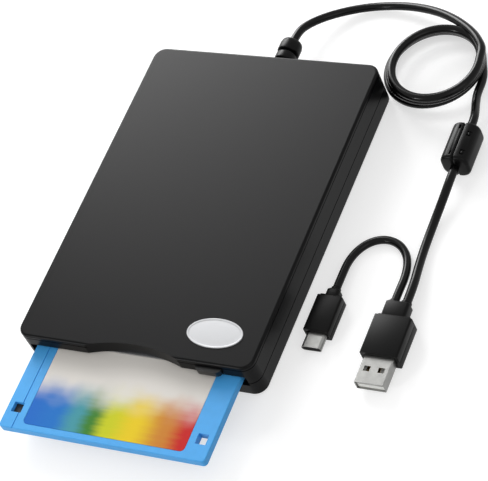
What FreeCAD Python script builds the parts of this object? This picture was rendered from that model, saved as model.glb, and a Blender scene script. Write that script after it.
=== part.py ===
import FreeCAD, Part
import Sketcher
import math
import os

V = FreeCAD.Vector
os.makedirs("parts", exist_ok=True)
doc = FreeCAD.newDocument("FloppyDrive")
sheet = doc.addObject("Spreadsheet::Sheet", "Sizes")

# The driving sizes, in millimetres, degrees or plain counts.
SIZES = {
    "case_width": (103, "outside, left to right"),
    "case_depth": (146, "front plane to back plane"),
    "case_top": (18.4, "top face above the table"),
    "foot_height": (0.6, "rubber feet under the case"),
    "parting_height": (8.4, "line where the two case shells meet"),
    "wall": (1.8, "case side walls"),
    "roof": (1.6, "case top and bottom thickness"),
    "plan_corner": (5, "corner radius of the case in plan"),
    "edge_round": (1.0, "rounded edge at the top and bottom"),
    "shadow_gap": (0.4, "groove under the top edge and at the parting"),
    "scoop_width": (41, "finger scoop in the front edge"),
    "scoop_depth": (3.4, "how far the scoop goes in"),
    "slot_side": (2.5, "slot beyond the disk, each side"),
    "slot_low": (1.25, "slot below the disk at rest"),
    "slot_high": (1.1, "slot above the disk at rest"),
    "disk_out": (36.5, "how far the disk stands out at rest"),
    "disk_width": (90, "disk, left to right"),
    "disk_length": (94, "disk, leading to trailing edge"),
    "disk_thick": (3.3, "disk thickness"),
    "disk_bottom": (8.2, "underside of the disk at rest"),
    "disk_home": (2, "loaded disk behind the front plane"),
    "hub_inset": (45.2, "hub centre from the leading edge"),
    "medium_radius": (42.9, "magnetic medium"),
    "hub_radius": (12.5, "steel hub of the disk"),
    "button_width": (10.8, "eject button"),
    "button_thick": (2.7, "eject button height"),
    "button_centre": (33.2, "eject button from the middle"),
    "button_low": (13.5, "underside of the button"),
    "button_out": (2.0, "button beyond the front plane at rest"),
    "eject_travel": (3.5, "travel of the slide plate"),
    "cradle_drop": (1.0, "drop of the disk cradle"),
    "badge_length": (23.4, "oval badge"),
    "badge_height": (12.9, "oval badge across"),
    "badge_thick": (0.8, "oval badge"),
    "badge_proud": (0.35, "badge above the top face"),
    "badge_x": (31.4, "badge centre from the middle"),
    "badge_back": (13.3, "badge centre behind the front plane"),
    "sheet_metal": (0.6, "cradle and slide plate"),
    "frame_metal": (1.0, "drive frame"),
    "frame_low": (3.0, "underside of the drive frame"),
    "slack": (0.2, "running gap between sliding sheets"),
    "pin_radius": (0.8, "lift pins of the cradle"),
    "spindle_radius": (17, "spindle rotor"),
    "motor_radius": (6, "stepper motor can"),
    "screw_radius": (1.2, "lead screw"),
    "rod_radius": (1.5, "guide rod"),
    "board_thick": (1.0, "circuit boards"),
    "cord_size": (3.5, "round cord"),
    "pigtail_size": (3.2, "short cord between the plugs"),
    "gland_length": (16, "strain relief behind the case"),
    "coil_radius": (19.8, "outer turn of the coil, to the cord centre"),
    "coil_pitch": (1.7, "how far a layer spirals in or out in one turn"),
    "coil_layer": (3.92, "layer to layer"),
    "bead_width": (11.6, "clip-on ferrite case"),
    "bead_length": (18.0, "clip-on ferrite case"),
    "plug_a_width": (15.2, "wide plug grip"),
    "plug_a_thick": (8.0, "wide plug grip"),
    "plug_a_length": (18, "wide plug grip"),
    "shell_a_width": (12, "wide plug shell"),
    "shell_a_thick": (4.5, "wide plug shell"),
    "shell_a_out": (11.8, "wide plug shell beyond the grip"),
    "plug_c_width": (10.6, "narrow plug grip"),
    "plug_c_thick": (6.0, "narrow plug grip"),
    "plug_c_length": (16.8, "narrow plug grip"),
    "shell_c_width": (8.34, "narrow plug shell"),
    "shell_c_thick": (2.56, "narrow plug shell"),
    "shell_c_out": (6.6, "narrow plug shell beyond the grip"),
}


class Size:
    """A length, with the sheet formula that gives it."""

    def __init__(self, value, text):
        self.value = value
        self.text = text

    def join(self, other, sign, swap=False):
        other = as_size(other)
        a, b = (other, self) if swap else (self, other)
        value = {
            "+": lambda: a.value + b.value,
            "-": lambda: a.value - b.value,
            "*": lambda: a.value * b.value,
            "/": lambda: a.value / b.value,
        }[sign]()
        return Size(value, "(%s %s %s)" % (a.text, sign, b.text))

    def __add__(self, other):
        return self.join(other, "+")

    def __radd__(self, other):
        return self.join(other, "+", True)

    def __sub__(self, other):
        return self.join(other, "-")

    def __rsub__(self, other):
        return self.join(other, "-", True)

    def __mul__(self, other):
        return self.join(other, "*")

    def __rmul__(self, other):
        return self.join(other, "*", True)

    def __truediv__(self, other):
        return self.join(other, "/")

    def __neg__(self):
        return Size(-self.value, "(0 - %s)" % self.text)


def as_size(value):
    return value if isinstance(value, Size) else Size(float(value), "(%.6f)" % value)


def read_sizes():
    """Fill the sheet and return one Size per alias."""
    found = {}
    for row, (name, (value, note)) in enumerate(SIZES.items(), start=1):
        sheet.set("A%d" % row, name)
        sheet.set("B%d" % row, str(value))
        sheet.set("C%d" % row, note)
        sheet.setAlias("B%d" % row, name)
        found[name] = Size(float(value), "Sizes." + name)
    doc.recompute()
    return found


class Named:
    """The sizes as attributes."""

    def __init__(self, found):
        self.__dict__.update(found)


S = Named(read_sizes())
SUBPARTS = []
COUNT = {"made": 0}


def serial(word):
    COUNT["made"] += 1
    return "%s_%03d" % (word, COUNT["made"])


def bind(thing, prop, size):
    thing.setExpression(prop, as_size(size).text)


def place(thing, x, y, z):
    for letter, value in zip("xyz", (x, y, z)):
        bind(thing, "Placement.Base." + letter, value)


def block(x, y, z):
    """A box between two corners, given as (low, high) pairs."""
    box = doc.addObject("Part::Box", serial("Block"))
    for prop, (low, high) in zip(("Length", "Width", "Height"), (x, y, z)):
        bind(box, prop, as_size(high) - low)
    place(box, x[0], y[0], z[0])
    return box


TURNS = {
    "X": FreeCAD.Rotation(V(0, 1, 0), 90),
    "Y": FreeCAD.Rotation(V(1, 0, 0), -90),
    "Z": FreeCAD.Rotation(),
}


def rod(axis, start, radius, length):
    """A cylinder from a start point along a row axis."""
    bar = doc.addObject("Part::Cylinder", serial("Rod"))
    bar.Placement = FreeCAD.Placement(V(0, 0, 0), TURNS[axis])
    bind(bar, "Radius", radius)
    bind(bar, "Height", length)
    place(bar, *start)
    return bar


def taper(axis, start, radius, end_radius, length):
    cone = doc.addObject("Part::Cone", serial("Taper"))
    cone.Placement = FreeCAD.Placement(V(0, 0, 0), TURNS[axis])
    bind(cone, "Radius1", radius)
    bind(cone, "Radius2", end_radius)
    bind(cone, "Height", length)
    place(cone, *start)
    return cone


def cut(base, *tools):
    made = doc.addObject("Part::Cut", serial("Cut"))
    made.Base = base
    made.Tool = tools[0] if len(tools) == 1 else fuse(*tools)
    return made


def fuse(*shapes):
    made = doc.addObject("Part::MultiFuse", serial("Fuse"))
    made.Shapes = list(shapes)
    return made


def common(*shapes):
    made = doc.addObject("Part::MultiCommon", serial("Common"))
    made.Shapes = list(shapes)
    return made


def group(*shapes):
    made = doc.addObject("Part::Compound", serial("Group"))
    made.Links = list(shapes)
    return made


def subpart(label, shape):
    """Name a finished sub-part."""
    shape.Label = label
    SUBPARTS.append(shape)
    return shape


def edge_names(shape, wanted):
    return ["Edge%d" % (i + 1) for i, edge in enumerate(shape.Edges) if wanted(edge)]


def upright(edge):
    ends = [v.Point for v in edge.Vertexes]
    return len(ends) == 2 and abs(ends[0].z - ends[1].z) > 0.01 and (ends[0] - ends[1]).Length - abs(
        ends[0].z - ends[1].z) < 1e-6


def plane_of(body, role):
    return next(f for f in body.Origin.OriginFeatures if f.Role == role)


def round_edges(body, feature, radius, wanted):
    """A fillet feature on the edges that a test picks."""
    doc.recompute()
    names = edge_names(feature.Shape, wanted)
    fillet = body.newObject("PartDesign::Fillet", serial("Fillet"))
    fillet.Base = (feature, names)
    bind(fillet, "Radius", radius)
    doc.recompute()
    return fillet


def plate(x, y, z, corner=None, top_round=None, low_round=None):
    """A padded rectangle sketch with rounded corners in plan."""
    body = doc.addObject("PartDesign::Body", serial("Plate"))
    sketch = body.newObject("Sketcher::SketchObject", serial("Outline"))
    sketch.AttachmentSupport = [(plane_of(body, "XY_Plane"), "")]
    sketch.MapMode = "FlatFace"
    wide, deep = as_size(x[1]) - x[0], as_size(y[1]) - y[0]
    tall = as_size(z[1]) - z[0]
    spots = [V(0, 0, 0), V(wide.value, 0, 0), V(wide.value, deep.value, 0), V(0, deep.value, 0)]
    for i in range(4):
        sketch.addGeometry(Part.LineSegment(spots[i], spots[(i + 1) % 4]), False)
    limits = [("Coincident", i, 2, (i + 1) % 4, 1) for i in range(4)]
    limits += [("Horizontal", 0), ("Horizontal", 2), ("Vertical", 1), ("Vertical", 3)]
    limits += [("Coincident", 0, 1, -1, 1)]
    for limit in limits:
        sketch.addConstraint(Sketcher.Constraint(*limit))
    for line, name, size in ((0, "wide", wide), (1, "deep", deep)):
        kind = "DistanceX" if line == 0 else "DistanceY"
        index = sketch.addConstraint(Sketcher.Constraint(kind, line, 1, line, 2, size.value))
        sketch.renameConstraint(index, name)
        sketch.setExpression("Constraints." + name, size.text)
    pad = body.newObject("PartDesign::Pad", serial("Pad"))
    pad.Profile = sketch
    bind(pad, "Length", tall)
    place(body, x[0], y[0], z[0])
    last = pad
    if corner is not None:
        last = round_edges(body, last, corner, upright)
    if top_round is not None:
        last = round_edges(body, last, top_round, lambda e: e.BoundBox.ZMin > tall.value - 1e-6)
    if low_round is not None:
        last = round_edges(body, last, low_round, lambda e: e.BoundBox.ZMax < 1e-6)
    body.Tip = last
    return body


def rounded(base, radius, wanted):
    """A fillet on the edges of a primitive."""
    doc.recompute()
    fillet = doc.addObject("Part::Fillet", serial("Round"))
    fillet.Base = base
    value = as_size(radius).value
    fillet.Edges = [(i + 1, value, value) for i, edge in enumerate(base.Shape.Edges) if wanted(edge)]
    return fillet


def along(letter):
    """A test for straight edges along a row axis."""
    def wanted(edge):
        box = edge.BoundBox
        spans = {"x": box.XLength, "y": box.YLength, "z": box.ZLength}
        return spans[letter] > 1e-6 and all(v < 1e-6 for k, v in spans.items() if k != letter)
    return wanted


def solid(shape):
    """A sub-part whose form no primitive gives."""
    made = doc.addObject("Part::Feature", serial("Formed"))
    made.Shape = shape
    return made


# Places that several sub-parts share.
front = (S.disk_out - S.case_depth) / 2
back = front + S.case_depth
half = S.case_width / 2
case_low = S.foot_height
floor_top = case_low + S.roof
roof_low = S.case_top - S.roof
inner = half - S.wall
inner_front = front + S.wall
inner_back = back - S.wall
disk_half = S.disk_width / 2
disk_top = S.disk_bottom + S.disk_thick
disk_tail = front - S.disk_out
disk_lead = disk_tail + S.disk_length
slot_half = disk_half + S.slot_side
slot_bottom = S.disk_bottom - S.slot_low
slot_top = disk_top + S.slot_high
frame_top = S.frame_low + S.frame_metal
home_lead = front + S.disk_home + S.disk_length
spindle_y = home_lead - S.hub_inset
hub_y = disk_lead - S.hub_inset
disk_mid = S.disk_bottom + S.disk_thick / 2
gland_x = 2.8
gland_z = 8.6


def ring_cut(low, high, depth):
    """A frame-shaped cutter that leaves a groove round the case."""
    outer = block((-half - 1, half + 1), (front - 1, back + 1), (low, high))
    core = plate((-half + depth, half - depth), (front + depth, back - depth), (low - 1, high + 1),
                 corner=S.plan_corner - depth)
    return cut(outer, core)


def make_top_cover():
    """The upper shell, with the disk slot, the finger scoop and the button's hole."""
    outer = plate((-half, half), (front, back), (S.parting_height, S.case_top),
                  corner=S.plan_corner, top_round=S.edge_round)
    hollow = plate((-inner, inner), (inner_front, inner_back), (S.parting_height - 1, roof_low),
                   corner=S.plan_corner - S.wall)
    radius = (S.scoop_width * S.scoop_width / 4 + S.scoop_depth * S.scoop_depth) / (S.scoop_depth * 2)
    scoop_y = front + S.scoop_depth - radius
    scoop = rod("Z", (0, scoop_y, S.parting_height - 1), radius, S.case_top)
    lining = rod("Z", (0, scoop_y, slot_top), radius + S.wall, roof_low - slot_top + 0.2)
    keep = block((-inner, inner), (front + S.wall / 2, inner_front + S.scoop_depth + 1), (slot_top, S.case_top))
    posts = [rod("Z", (x, y, S.parting_height), 3, roof_low - S.parting_height + 0.2) for x, y in rear_spots()]
    body = fuse(cut(outer, hollow), common(lining, keep), *posts)
    slot = block((-slot_half, slot_half), (front - 1, inner_front + 0.1), (S.parting_height - 1, slot_top))
    gap = 0.3
    hole = rounded(block((S.button_centre - S.button_width / 2 - gap, S.button_centre + S.button_width / 2 + gap),
                         (front - 1, inner_front + 0.1),
                         (S.button_low - gap, S.button_low + S.button_thick + gap)), 1.2, along("y"))
    gland_hole = rod("Y", (gland_x, inner_back - 1, gland_z), 3.1, S.wall + 2)
    recess = solid(oval(S.badge_length.value + 0.2, S.badge_height.value + 0.2,
                        (S.case_top - S.badge_thick + S.badge_proud).value, 2))
    pilots = [rod("Z", (x, y, S.parting_height - 1), 1.25, 6) for x, y in rear_spots()]
    groove = ring_cut(S.case_top - 2.1, S.case_top - 2.1 + S.shadow_gap, S.shadow_gap)
    return subpart("top_cover", cut(body, scoop, slot, hole, gland_hole, recess, groove, *pilots))


def oval(length, height, low, thick):
    """An oval slab on the case top, from a true ellipse."""
    centre = V(S.badge_x.value, (front + S.badge_back).value, low)
    edge = Part.Ellipse(centre, length / 2, height / 2).toShape()
    return Part.Face(Part.Wire([edge])).extrude(V(0, 0, thick))


def make_badge():
    """The oval badge, crowned a little, left bare."""
    low = (S.case_top - S.badge_thick + S.badge_proud).value
    slab = oval(S.badge_length.value, S.badge_height.value, low, S.badge_thick.value)
    rim = [e for e in slab.Edges if e.BoundBox.ZMin > low + S.badge_thick.value - 0.01]
    return subpart("oval_badge", solid(slab.makeFillet(0.25, rim)))


def make_bottom_case():
    """The lower shell, with the bosses that carry the drive."""
    outer = plate((-half, half), (front, back), (case_low, S.parting_height),
                  corner=S.plan_corner, low_round=S.edge_round)
    hollow = plate((-inner, inner), (inner_front, inner_back), (floor_top, S.parting_height + 1),
                   corner=S.plan_corner - S.wall)
    slot = block((-slot_half, slot_half), (front - 1, inner_front + 0.1), (slot_bottom, S.parting_height + 1))
    gland_hole = rod("Y", (gland_x, inner_back - 1, gland_z), 3.1, S.wall + 2)
    groove = ring_cut(S.parting_height - S.shadow_gap, S.parting_height + 1, S.shadow_gap)
    bosses = [rod("Z", (x, y, floor_top - 0.1), 2.6, S.frame_low - floor_top + 0.1) for x, y in frame_spots()]
    rear = rear_spots()
    posts = [rod("Z", (x, y, floor_top - 0.1), 3.4, S.parting_height - floor_top + 0.1) for x, y in rear]
    wells = [rod("Z", (x, y, case_low - 1), 2.5, 3.4) for x, y in rear]
    bores = [rod("Z", (x, y, case_low), 1.4, S.parting_height) for x, y in rear]
    holes = [rod("Z", (x, y, case_low + 0.8), 1.05, S.frame_low) for x, y in frame_spots()]
    shell = fuse(cut(outer, hollow), *bosses, *posts)
    return subpart("bottom_case", cut(shell, slot, gland_hole, groove, *wells, *bores, *holes))


def frame_spots():
    """Where the drive frame is screwed to the lower shell."""
    return [(side * x, front + y) for side in (-1, 1) for x, y in ((40, 13), (30, 97.5))]


def rear_spots():
    """Where the two case screws join the shells."""
    return [(side * (half - 8.5), back - 9) for side in (-1, 1)]


def make_feet():
    pads = [taper("Z", (sx * (half - 9), (front + back) / 2 + sy * (S.case_depth / 2 - 10), 0), 3.8, 4.2,
                  S.foot_height) for sx in (-1, 1) for sy in (-1, 1) if not sy > 0]
    pads += [taper("Z", (sx * (half - 18), back - 10, 0), 3.8, 4.2, S.foot_height) for sx in (-1, 1)]
    return subpart("rubber_feet", group(*pads))


def pan_screw(x, y, head_low, head_radius, head_tall, shank_radius, reach, up):
    """One pan-head screw, its head below or above its shank, with a cross recess."""
    head = rod("Z", (x, y, head_low), head_radius, head_tall)
    if up:
        shank = rod("Z", (x, y, head_low + head_tall - 0.1), shank_radius, reach)
        low = head_low - 0.1
    else:
        shank = rod("Z", (x, y, head_low - reach + 0.1), shank_radius, reach)
        low = head_low + head_tall * 0.5
    arm, thin = head_radius * 0.55, 0.25
    cross = [block((x - a, x + a), (y - b, y + b), (low, low + head_tall * 0.5 + 0.1))
             for a, b in ((arm, thin), (thin, arm))]
    return cut(fuse(head, shank), *cross)


def make_screws():
    case = [pan_screw(x, y, case_low + 1.0, 2.2, 1.4, 1.2, 10, True) for x, y in rear_spots()]
    frame = [pan_screw(x, y, frame_top, 1.8, 0.9, 1.0, 2.5, False) for x, y in frame_spots()]
    return [subpart("case_screws", group(*case)), subpart("frame_screws", group(*frame))]


def make_strain_relief():
    """The moulded relief: a flange inside the wall, a neck in it and a ringed taper outside."""
    centre = (gland_x, gland_z)
    flange = rod("Y", (centre[0], inner_back - 1.2, centre[1]), 4.2, 1.1)
    neck = rod("Y", (centre[0], inner_back - 0.2, centre[1]), 3.0, S.wall + 0.4)
    start = back + 0.15
    boot = taper("Y", (centre[0], start, centre[1]), 3.9, 2.7, S.gland_length - 0.15)
    grooves = []
    for ring in range(3):
        at = start + 4.0 + ring * 3.6
        outer = rod("Y", (centre[0], at, centre[1]), 5, 1.3)
        core = rod("Y", (centre[0], at - 1, centre[1]), 2.5, 4)
        grooves.append(cut(outer, core))
    return subpart("strain_relief", cut(fuse(flange, neck, boot), *grooves))


# The drive mechanism.
wall_out = inner - 0.8
wall_in = wall_out - S.frame_metal
flange_out = wall_in - S.slack
flange_in = flange_out - S.sheet_metal
cradle_out = flange_in - S.slack
cradle_in = cradle_out - S.sheet_metal
frame_front = front + 3.5
frame_back = back - 4.2
cradle_front = front + 2.5
cradle_back = front + 91
cradle_roof = disk_top + 0.4
slide_low = cradle_roof + S.sheet_metal + 0.7
slide_top = slide_low + S.sheet_metal
slide_front = front + 11
slide_back = front + 85
pin_z = disk_mid + 0.35
pin_ys = [front + 23, front + 78]
pivot_x = -44.0
pivot_y = front + 99
board_z = S.frame_low + S.frame_metal + 1.0
motor_x = 12.0
motor_z = 10.6
rod_x = -14.0


def make_drive_frame():
    """The die-cast frame: floor, side walls, standoffs and the lever's post."""
    base = plate((-wall_out, wall_out), (frame_front, frame_back), (S.frame_low, frame_top), corner=2)
    sides = [block(x, (frame_front, front + 93), (S.frame_low, slide_top - 0.2))
             for x in ((-wall_out, -wall_in), (wall_in, wall_out))]
    board = [rod("Z", (x, front + y, frame_top - 0.1), 1.6, 1.1)
             for x, y in ((-44, 112), (-23, 108), (-30, 138.5), (44, 120), (24, 120), (28, 138.5), (0, 139.5))]
    post = rod("Z", (pivot_x, pivot_y, frame_top - 0.1), 2.0, lever_low - frame_top + 0.1)
    tab = block((-42, -38), (front + 107.0, front + 108.0), (frame_top - 0.1, slide_top + 2.4))
    reach = slide_top + 1
    slots = [block((side * wall_out - 2, side * wall_out + 2), (y - S.pin_radius - 0.2, y + S.pin_radius + 0.2),
                   (pin_z - S.cradle_drop - S.pin_radius - 0.2, reach)) for side in (-1, 1) for y in pin_ys]
    holes = [rod("Z", (x, y, S.frame_low - 1), 1.2, 4) for x, y in frame_spots()]
    shaft_hole = rod("Z", (0, spindle_y, S.frame_low - 1), 4, 4)
    wells = [rod("Z", (x, y, S.frame_low - 1), 3.8, 4) for x, y in rear_spots()]
    return subpart("drive_frame", cut(fuse(base, *sides, *board, post, tab), *slots, *holes, *wells, shaft_hole))


lever_low = cradle_roof + S.sheet_metal + 0.12
lever_thick = 0.35
lever_reach = 40.0


def make_lever():
    """The shutter lever, swung back, with its pin, and the pivot that it turns on."""
    bar = block((pivot_x, pivot_x + lever_reach), (pivot_y - 1.8, pivot_y + 1.8), (lever_low, lever_low + lever_thick))
    hub = rod("Z", (pivot_x, pivot_y, lever_low), 3.2, lever_thick)
    tip = rod("Z", (pivot_x + lever_reach, pivot_y, disk_mid - 1), 1.0, lever_low - disk_mid + 1 + lever_thick)
    hole = rod("Z", (pivot_x, pivot_y, lever_low - 1), 1.06, 3)
    subpart("shutter_lever", cut(fuse(bar, hub, tip), hole))
    pin = rod("Z", (pivot_x, pivot_y, lever_low), 1.0, lever_thick + 0.1)
    cap = rod("Z", (pivot_x, pivot_y, lever_low + lever_thick + 0.08), 2.0, 0.4)
    subpart("lever_pivot", fuse(pin, cap))


def lever_slot():
    """The arc in the cradle's roof that the lever's pin sweeps."""
    centre = (pivot_x, pivot_y, cradle_roof - 2)
    ring = cut(rod("Z", centre, lever_reach + 1.8, 4), rod("Z", centre, lever_reach - 1.8, 4))
    return common(ring, block((-35.5, -1), (front + 56.5, cradle_back + 1), (cradle_roof - 2, cradle_roof + 2)))


def make_cradle():
    """The sheet-metal disk holder with its turned-under lips and its four lift pins."""
    top = cradle_roof + S.sheet_metal
    lip_top = S.disk_bottom - S.slack
    span = (cradle_front, cradle_back)
    roof = block((-cradle_out, cradle_out), span, (cradle_roof, top))
    sides = [block(x, span, (lip_top - S.sheet_metal, top))
             for x in ((-cradle_out, -cradle_in), (cradle_in, cradle_out))]
    lips = [block(x, span, (lip_top - S.sheet_metal, lip_top))
            for x in ((-cradle_out, -disk_half + 2.2), (disk_half - 2.2, cradle_out))]
    pins = [rod("X", (side * (cradle_out + wall_out) / 2 - (wall_out - cradle_out) / 2 - 0.15 * side, y, pin_z),
                S.pin_radius, wall_out - cradle_out) for side in (-1, 1) for y in pin_ys]
    window = block((-7, 7), (front + 66, cradle_back + 1), (cradle_roof - 1, top + 1))
    return subpart("disk_cradle", cut(fuse(roof, *sides, *lips, *pins), window, lever_slot()))


def slanted_slot(x_low, y, z):
    """A slot cutter along X that lowers a pin as the plate runs forward."""
    r = (S.pin_radius + 0.15).value
    run, drop = S.eject_travel.value, S.cradle_drop.value
    tilt = math.atan2(drop, run)
    off = V(0, r * math.sin(tilt), r * math.cos(tilt))
    a, b = V(x_low, y, z), V(x_low, y + run, z - drop)
    lead = V(0, math.cos(tilt), -math.sin(tilt)) * r
    edges = [Part.makeLine(a + off, b + off), Part.Arc(b + off, b + lead, b - off).toShape(),
             Part.makeLine(b - off, a - off), Part.Arc(a - off, a - lead, a + off).toShape()]
    return solid(Part.Face(Part.Wire(edges)).extrude(V(3, 0, 0)))


def make_slide_plate():
    """The ejector's slide plate over the cradle, with flanges and the button's tab."""
    span = (slide_front, slide_back)
    top = block((-flange_out, flange_out), span, (slide_low, slide_top))
    low = frame_top + S.slack
    flanges = [block(x, (slide_front, slide_back), (low, slide_top))
               for x in ((-flange_out, -flange_in), (flange_in, flange_out))]
    tab_x = (S.button_centre - 4, S.button_centre + 4)
    tab = block(tab_x, (slide_front - 2.5, slide_front + 1), (slide_low, slide_top))
    rise = block(tab_x, (slide_front - 2.5, slide_front - 2.5 + S.sheet_metal),
                 (slide_low, S.button_low + S.button_thick - 0.3))
    hook = block((-42, -38), (slide_back - 1, slide_back + 0.6), (slide_low, slide_top + 2.4))
    notch = block((-9.5, 9.5), (front + 66, slide_back + 1), (slide_low - 1, slide_top + 1))
    slots = [slanted_slot(x, y.value, pin_z.value) for x in (-flange_out.value - 1, flange_in.value - 1)
             for y in pin_ys]
    return subpart("slide_plate", cut(fuse(top, *flanges, tab, rise, hook), notch, *slots))


def make_button():
    """The lozenge-shaped eject button on its stem."""
    low, high = S.button_low, S.button_low + S.button_thick
    x = (S.button_centre - S.button_width / 2, S.button_centre + S.button_width / 2)
    cap = rounded(block(x, (front - S.button_out, slide_front - 2.5), (low, high)), 1.1, along("y"))
    return subpart("eject_button", cap)


def make_eject_spring():
    """The eject spring between the slide plate's hook and the frame's tab."""
    start = (slide_back + 0.9).value
    length = (front + 106.7).value - start
    wire, turns, radius = 0.25, 9, 1.1
    helix = Part.makeHelix(length / turns, length, radius)
    section = Part.Wire([Part.Circle(V(radius, 0, 0), V(0, 1, 0), wire).toShape()])
    coil = Part.Wire(helix).makePipeShell([section], True, True)
    made = solid(coil)
    made.Placement = FreeCAD.Placement(V(-40, start, slide_top.value + 1.2), FreeCAD.Rotation(V(1, 0, 0), -90))
    return subpart("eject_spring", made)


def ring(radius, bore, low, high, x=0, y=None):
    y = spindle_y if y is None else y
    return cut(rod("Z", (x, y, low), radius, as_size(high) - low),
               rod("Z", (x, y, as_size(low) - 1), bore, as_size(high) - low + 2))


def make_spindle():
    """The flat spindle motor: board, bearing and coils fixed, rotor turning."""
    low = frame_top
    board = cut(plate((-26, 26), (spindle_y - 23, spindle_y + 19), (low, low + 0.8), corner=3),
                rod("Z", (0, spindle_y, low - 1), 3.5, 3))
    subpart("spindle_board", board)
    bearing = ring(3.4, 1.56, low - S.frame_metal, low + 2.0)
    subpart("spindle_bearing", bearing)
    coils = []
    for i in range(12):
        angle = math.radians(30 * i)
        coils.append(rod("Z", (11 * math.cos(angle), spindle_y + 11 * math.sin(angle), low + 0.8), 2.3, 1.0))
    core = ring(8.9, 4.0, low + 0.8, low + 1.4)
    subpart("stator_coils", group(cut(core, rod("Z", (0, spindle_y, low), 4.0, 3)), *coils))
    disc_low = low + 2.3
    cup = fuse(ring(S.spindle_radius, 1.5, disc_low, disc_low + 0.4),
               ring(S.spindle_radius, S.spindle_radius - 1.0, low + 1.1, disc_low + 0.4))
    pin = rod("Z", (0, spindle_y, low + 0.1), 1.5, 2.9)
    drive = rod("Z", (10.1, spindle_y, disc_low + 0.4), 0.8, 0.3)
    subpart("spindle_rotor", cup)
    subpart("rotor_magnet", ring(S.spindle_radius - 1.0, S.spindle_radius - 2.4, low + 1.2, disc_low))
    subpart("spindle_shaft", pin)
    subpart("drive_pin", drive)


block_front = front + 116.6
screw_front = front + 97.6
bracket_y = front + 124


def make_head_drive():
    """The stepper motor, its screw, the guide rod and the brackets that hold them."""
    can = rod("Y", (motor_x, bracket_y + 1.2, motor_z), S.motor_radius, 12)
    subpart("stepper_motor", can)
    screw = rod("Y", (motor_x, screw_front, motor_z), S.screw_radius, bracket_y + 1.2 - screw_front)
    subpart("lead_screw", screw)
    guide = rod("Y", (rod_x, screw_front, motor_z), S.rod_radius, bracket_y + 1.0 - screw_front)
    subpart("guide_rod", guide)
    plate_back = block((rod_x - 4, motor_x + 6.5), (bracket_y, bracket_y + 1.2), (frame_top, motor_z + 5))
    fronts = [block((x - 2.6, x + 2.6), (screw_front - 0.2, screw_front + 1.2), (frame_top, motor_z + 1.85))
              for x in (rod_x, motor_x)]
    bores = [rod("Y", (motor_x, screw_front - 0.3, motor_z), S.screw_radius + 0.05, 60),
             rod("Y", (rod_x, screw_front - 0.3, motor_z), S.rod_radius, 60)]
    subpart("motor_bracket", cut(plate_back, *bores))
    subpart("rod_supports", group(*[cut(f, b) for f, b in zip(fronts, (bores[1], bores[0]))]))


def make_heads():
    """The head carriage with the lower head, and the hinged upper arm with its head."""
    span = (block_front, block_front + 6)
    track = spindle_y + 39.5
    trunk = block((rod_x - 3.5, motor_x + 3.5), span, (motor_z - 2.6, motor_z + 2.4))
    neck = block((-5, 5), span, (frame_top + 0.4, motor_z - 2.5))
    arm = block((-5, 5), (track - 4, block_front + 1), (frame_top + 0.4, frame_top + 1.8))
    ears = [block(x, (block_front + 0.5, block_front + 4.5), (motor_z + 2.3, motor_z + 5.2))
            for x in ((-7.2, -5.4), (5.4, 7.2))]
    bores = [rod("Y", (motor_x, span[0] - 1, motor_z), S.screw_radius + 0.06, 8),
             rod("Y", (rod_x, span[0] - 1, motor_z), S.rod_radius + 0.06, 8)]
    axle_y, axle_z = block_front + 2.5, motor_z + 3.9
    axle_hole = rod("X", (-8, axle_y, axle_z), 0.76, 16)
    subpart("head_carriage", cut(fuse(trunk, neck, arm, *ears), *bores, axle_hole))
    lower = rounded(block((-2.4, 2.4), (track - 2.6, track + 2.6), (frame_top + 1.8, S.disk_bottom - 1.25)),
                    0.5, along("z"))
    subpart("lower_head", lower)
    axle = rod("X", (-7.2, axle_y, axle_z), 0.7, 14.4)
    hub = rod("X", (-5.2, axle_y, axle_z), 1.3, 10.4)
    beam = block((-4.6, 4.6), (track - 4, axle_y), (slide_low + 0.85, slide_low + 1.65))
    subpart("head_arm", fuse(hub, beam, axle))
    upper = rounded(block((-2.4, 2.4), (track - 2.6, track + 2.6), (disk_top + 0.5, slide_low + 0.85)),
                    0.5, along("z"))
    subpart("upper_head", upper)


def make_boards():
    """The drive's own board, the cord's interface board and what they carry."""
    top = board_z + S.board_thick
    main = plate((-47, -20), (front + 104, front + 141), (board_z, top), corner=1)
    post_gap = rod("Z", (-40, front + 107.5, board_z - 1), 3.4, 3)
    wells = [rod("Z", (x, y, board_z - 1), 3.9, 3) for x, y in rear_spots()]
    subpart("main_board", cut(main, post_gap, wells[0]))
    subpart("controller_chips", group(
        block((-41, -29), (front + 116, front + 128), (top, top + 1.4)),
        block((-27, -22), (front + 112, front + 118), (top, top + 1.2)),
        block((-34, -28), (front + 131, front + 136), (top, top + 1.2))))
    wide = fuse(block((20, 47), (front + 116, front + 141), (board_z, top)),
                block((-6, 20.5), (front + 137.7, front + 141), (board_z, top)))
    subpart("interface_board", cut(wide, wells[1]))
    subpart("bridge_chip", block((30, 37), (front + 122, front + 129), (top, top + 1.2)))
    can = rounded(block((39.5, 43), (front + 121, front + 132), (top, top + 2.6)), 1.6, along("z"))
    subpart("crystal", can)
    subpart("cord_header", cut(block((-3, 8), (front + 137.8, front + 140.8), (top, top + 4.6)),
                               block((-2, 7), (front + 138.6, front + 142), (top + 1.2, top + 3.6))))
    subpart("ribbon_cable", block((-24, -3.2), (front + 137.9, front + 140.7), (top, top + 0.3)))


# The disk.
def in_disk(along_y):
    """A place measured back from the disk's leading edge."""
    return disk_lead - along_y


SHUTTER = {"left": -26.0, "right": 8.0, "deep": 31.0, "travel": 17.5, "thick": 0.25, "gap": 0.05}


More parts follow.
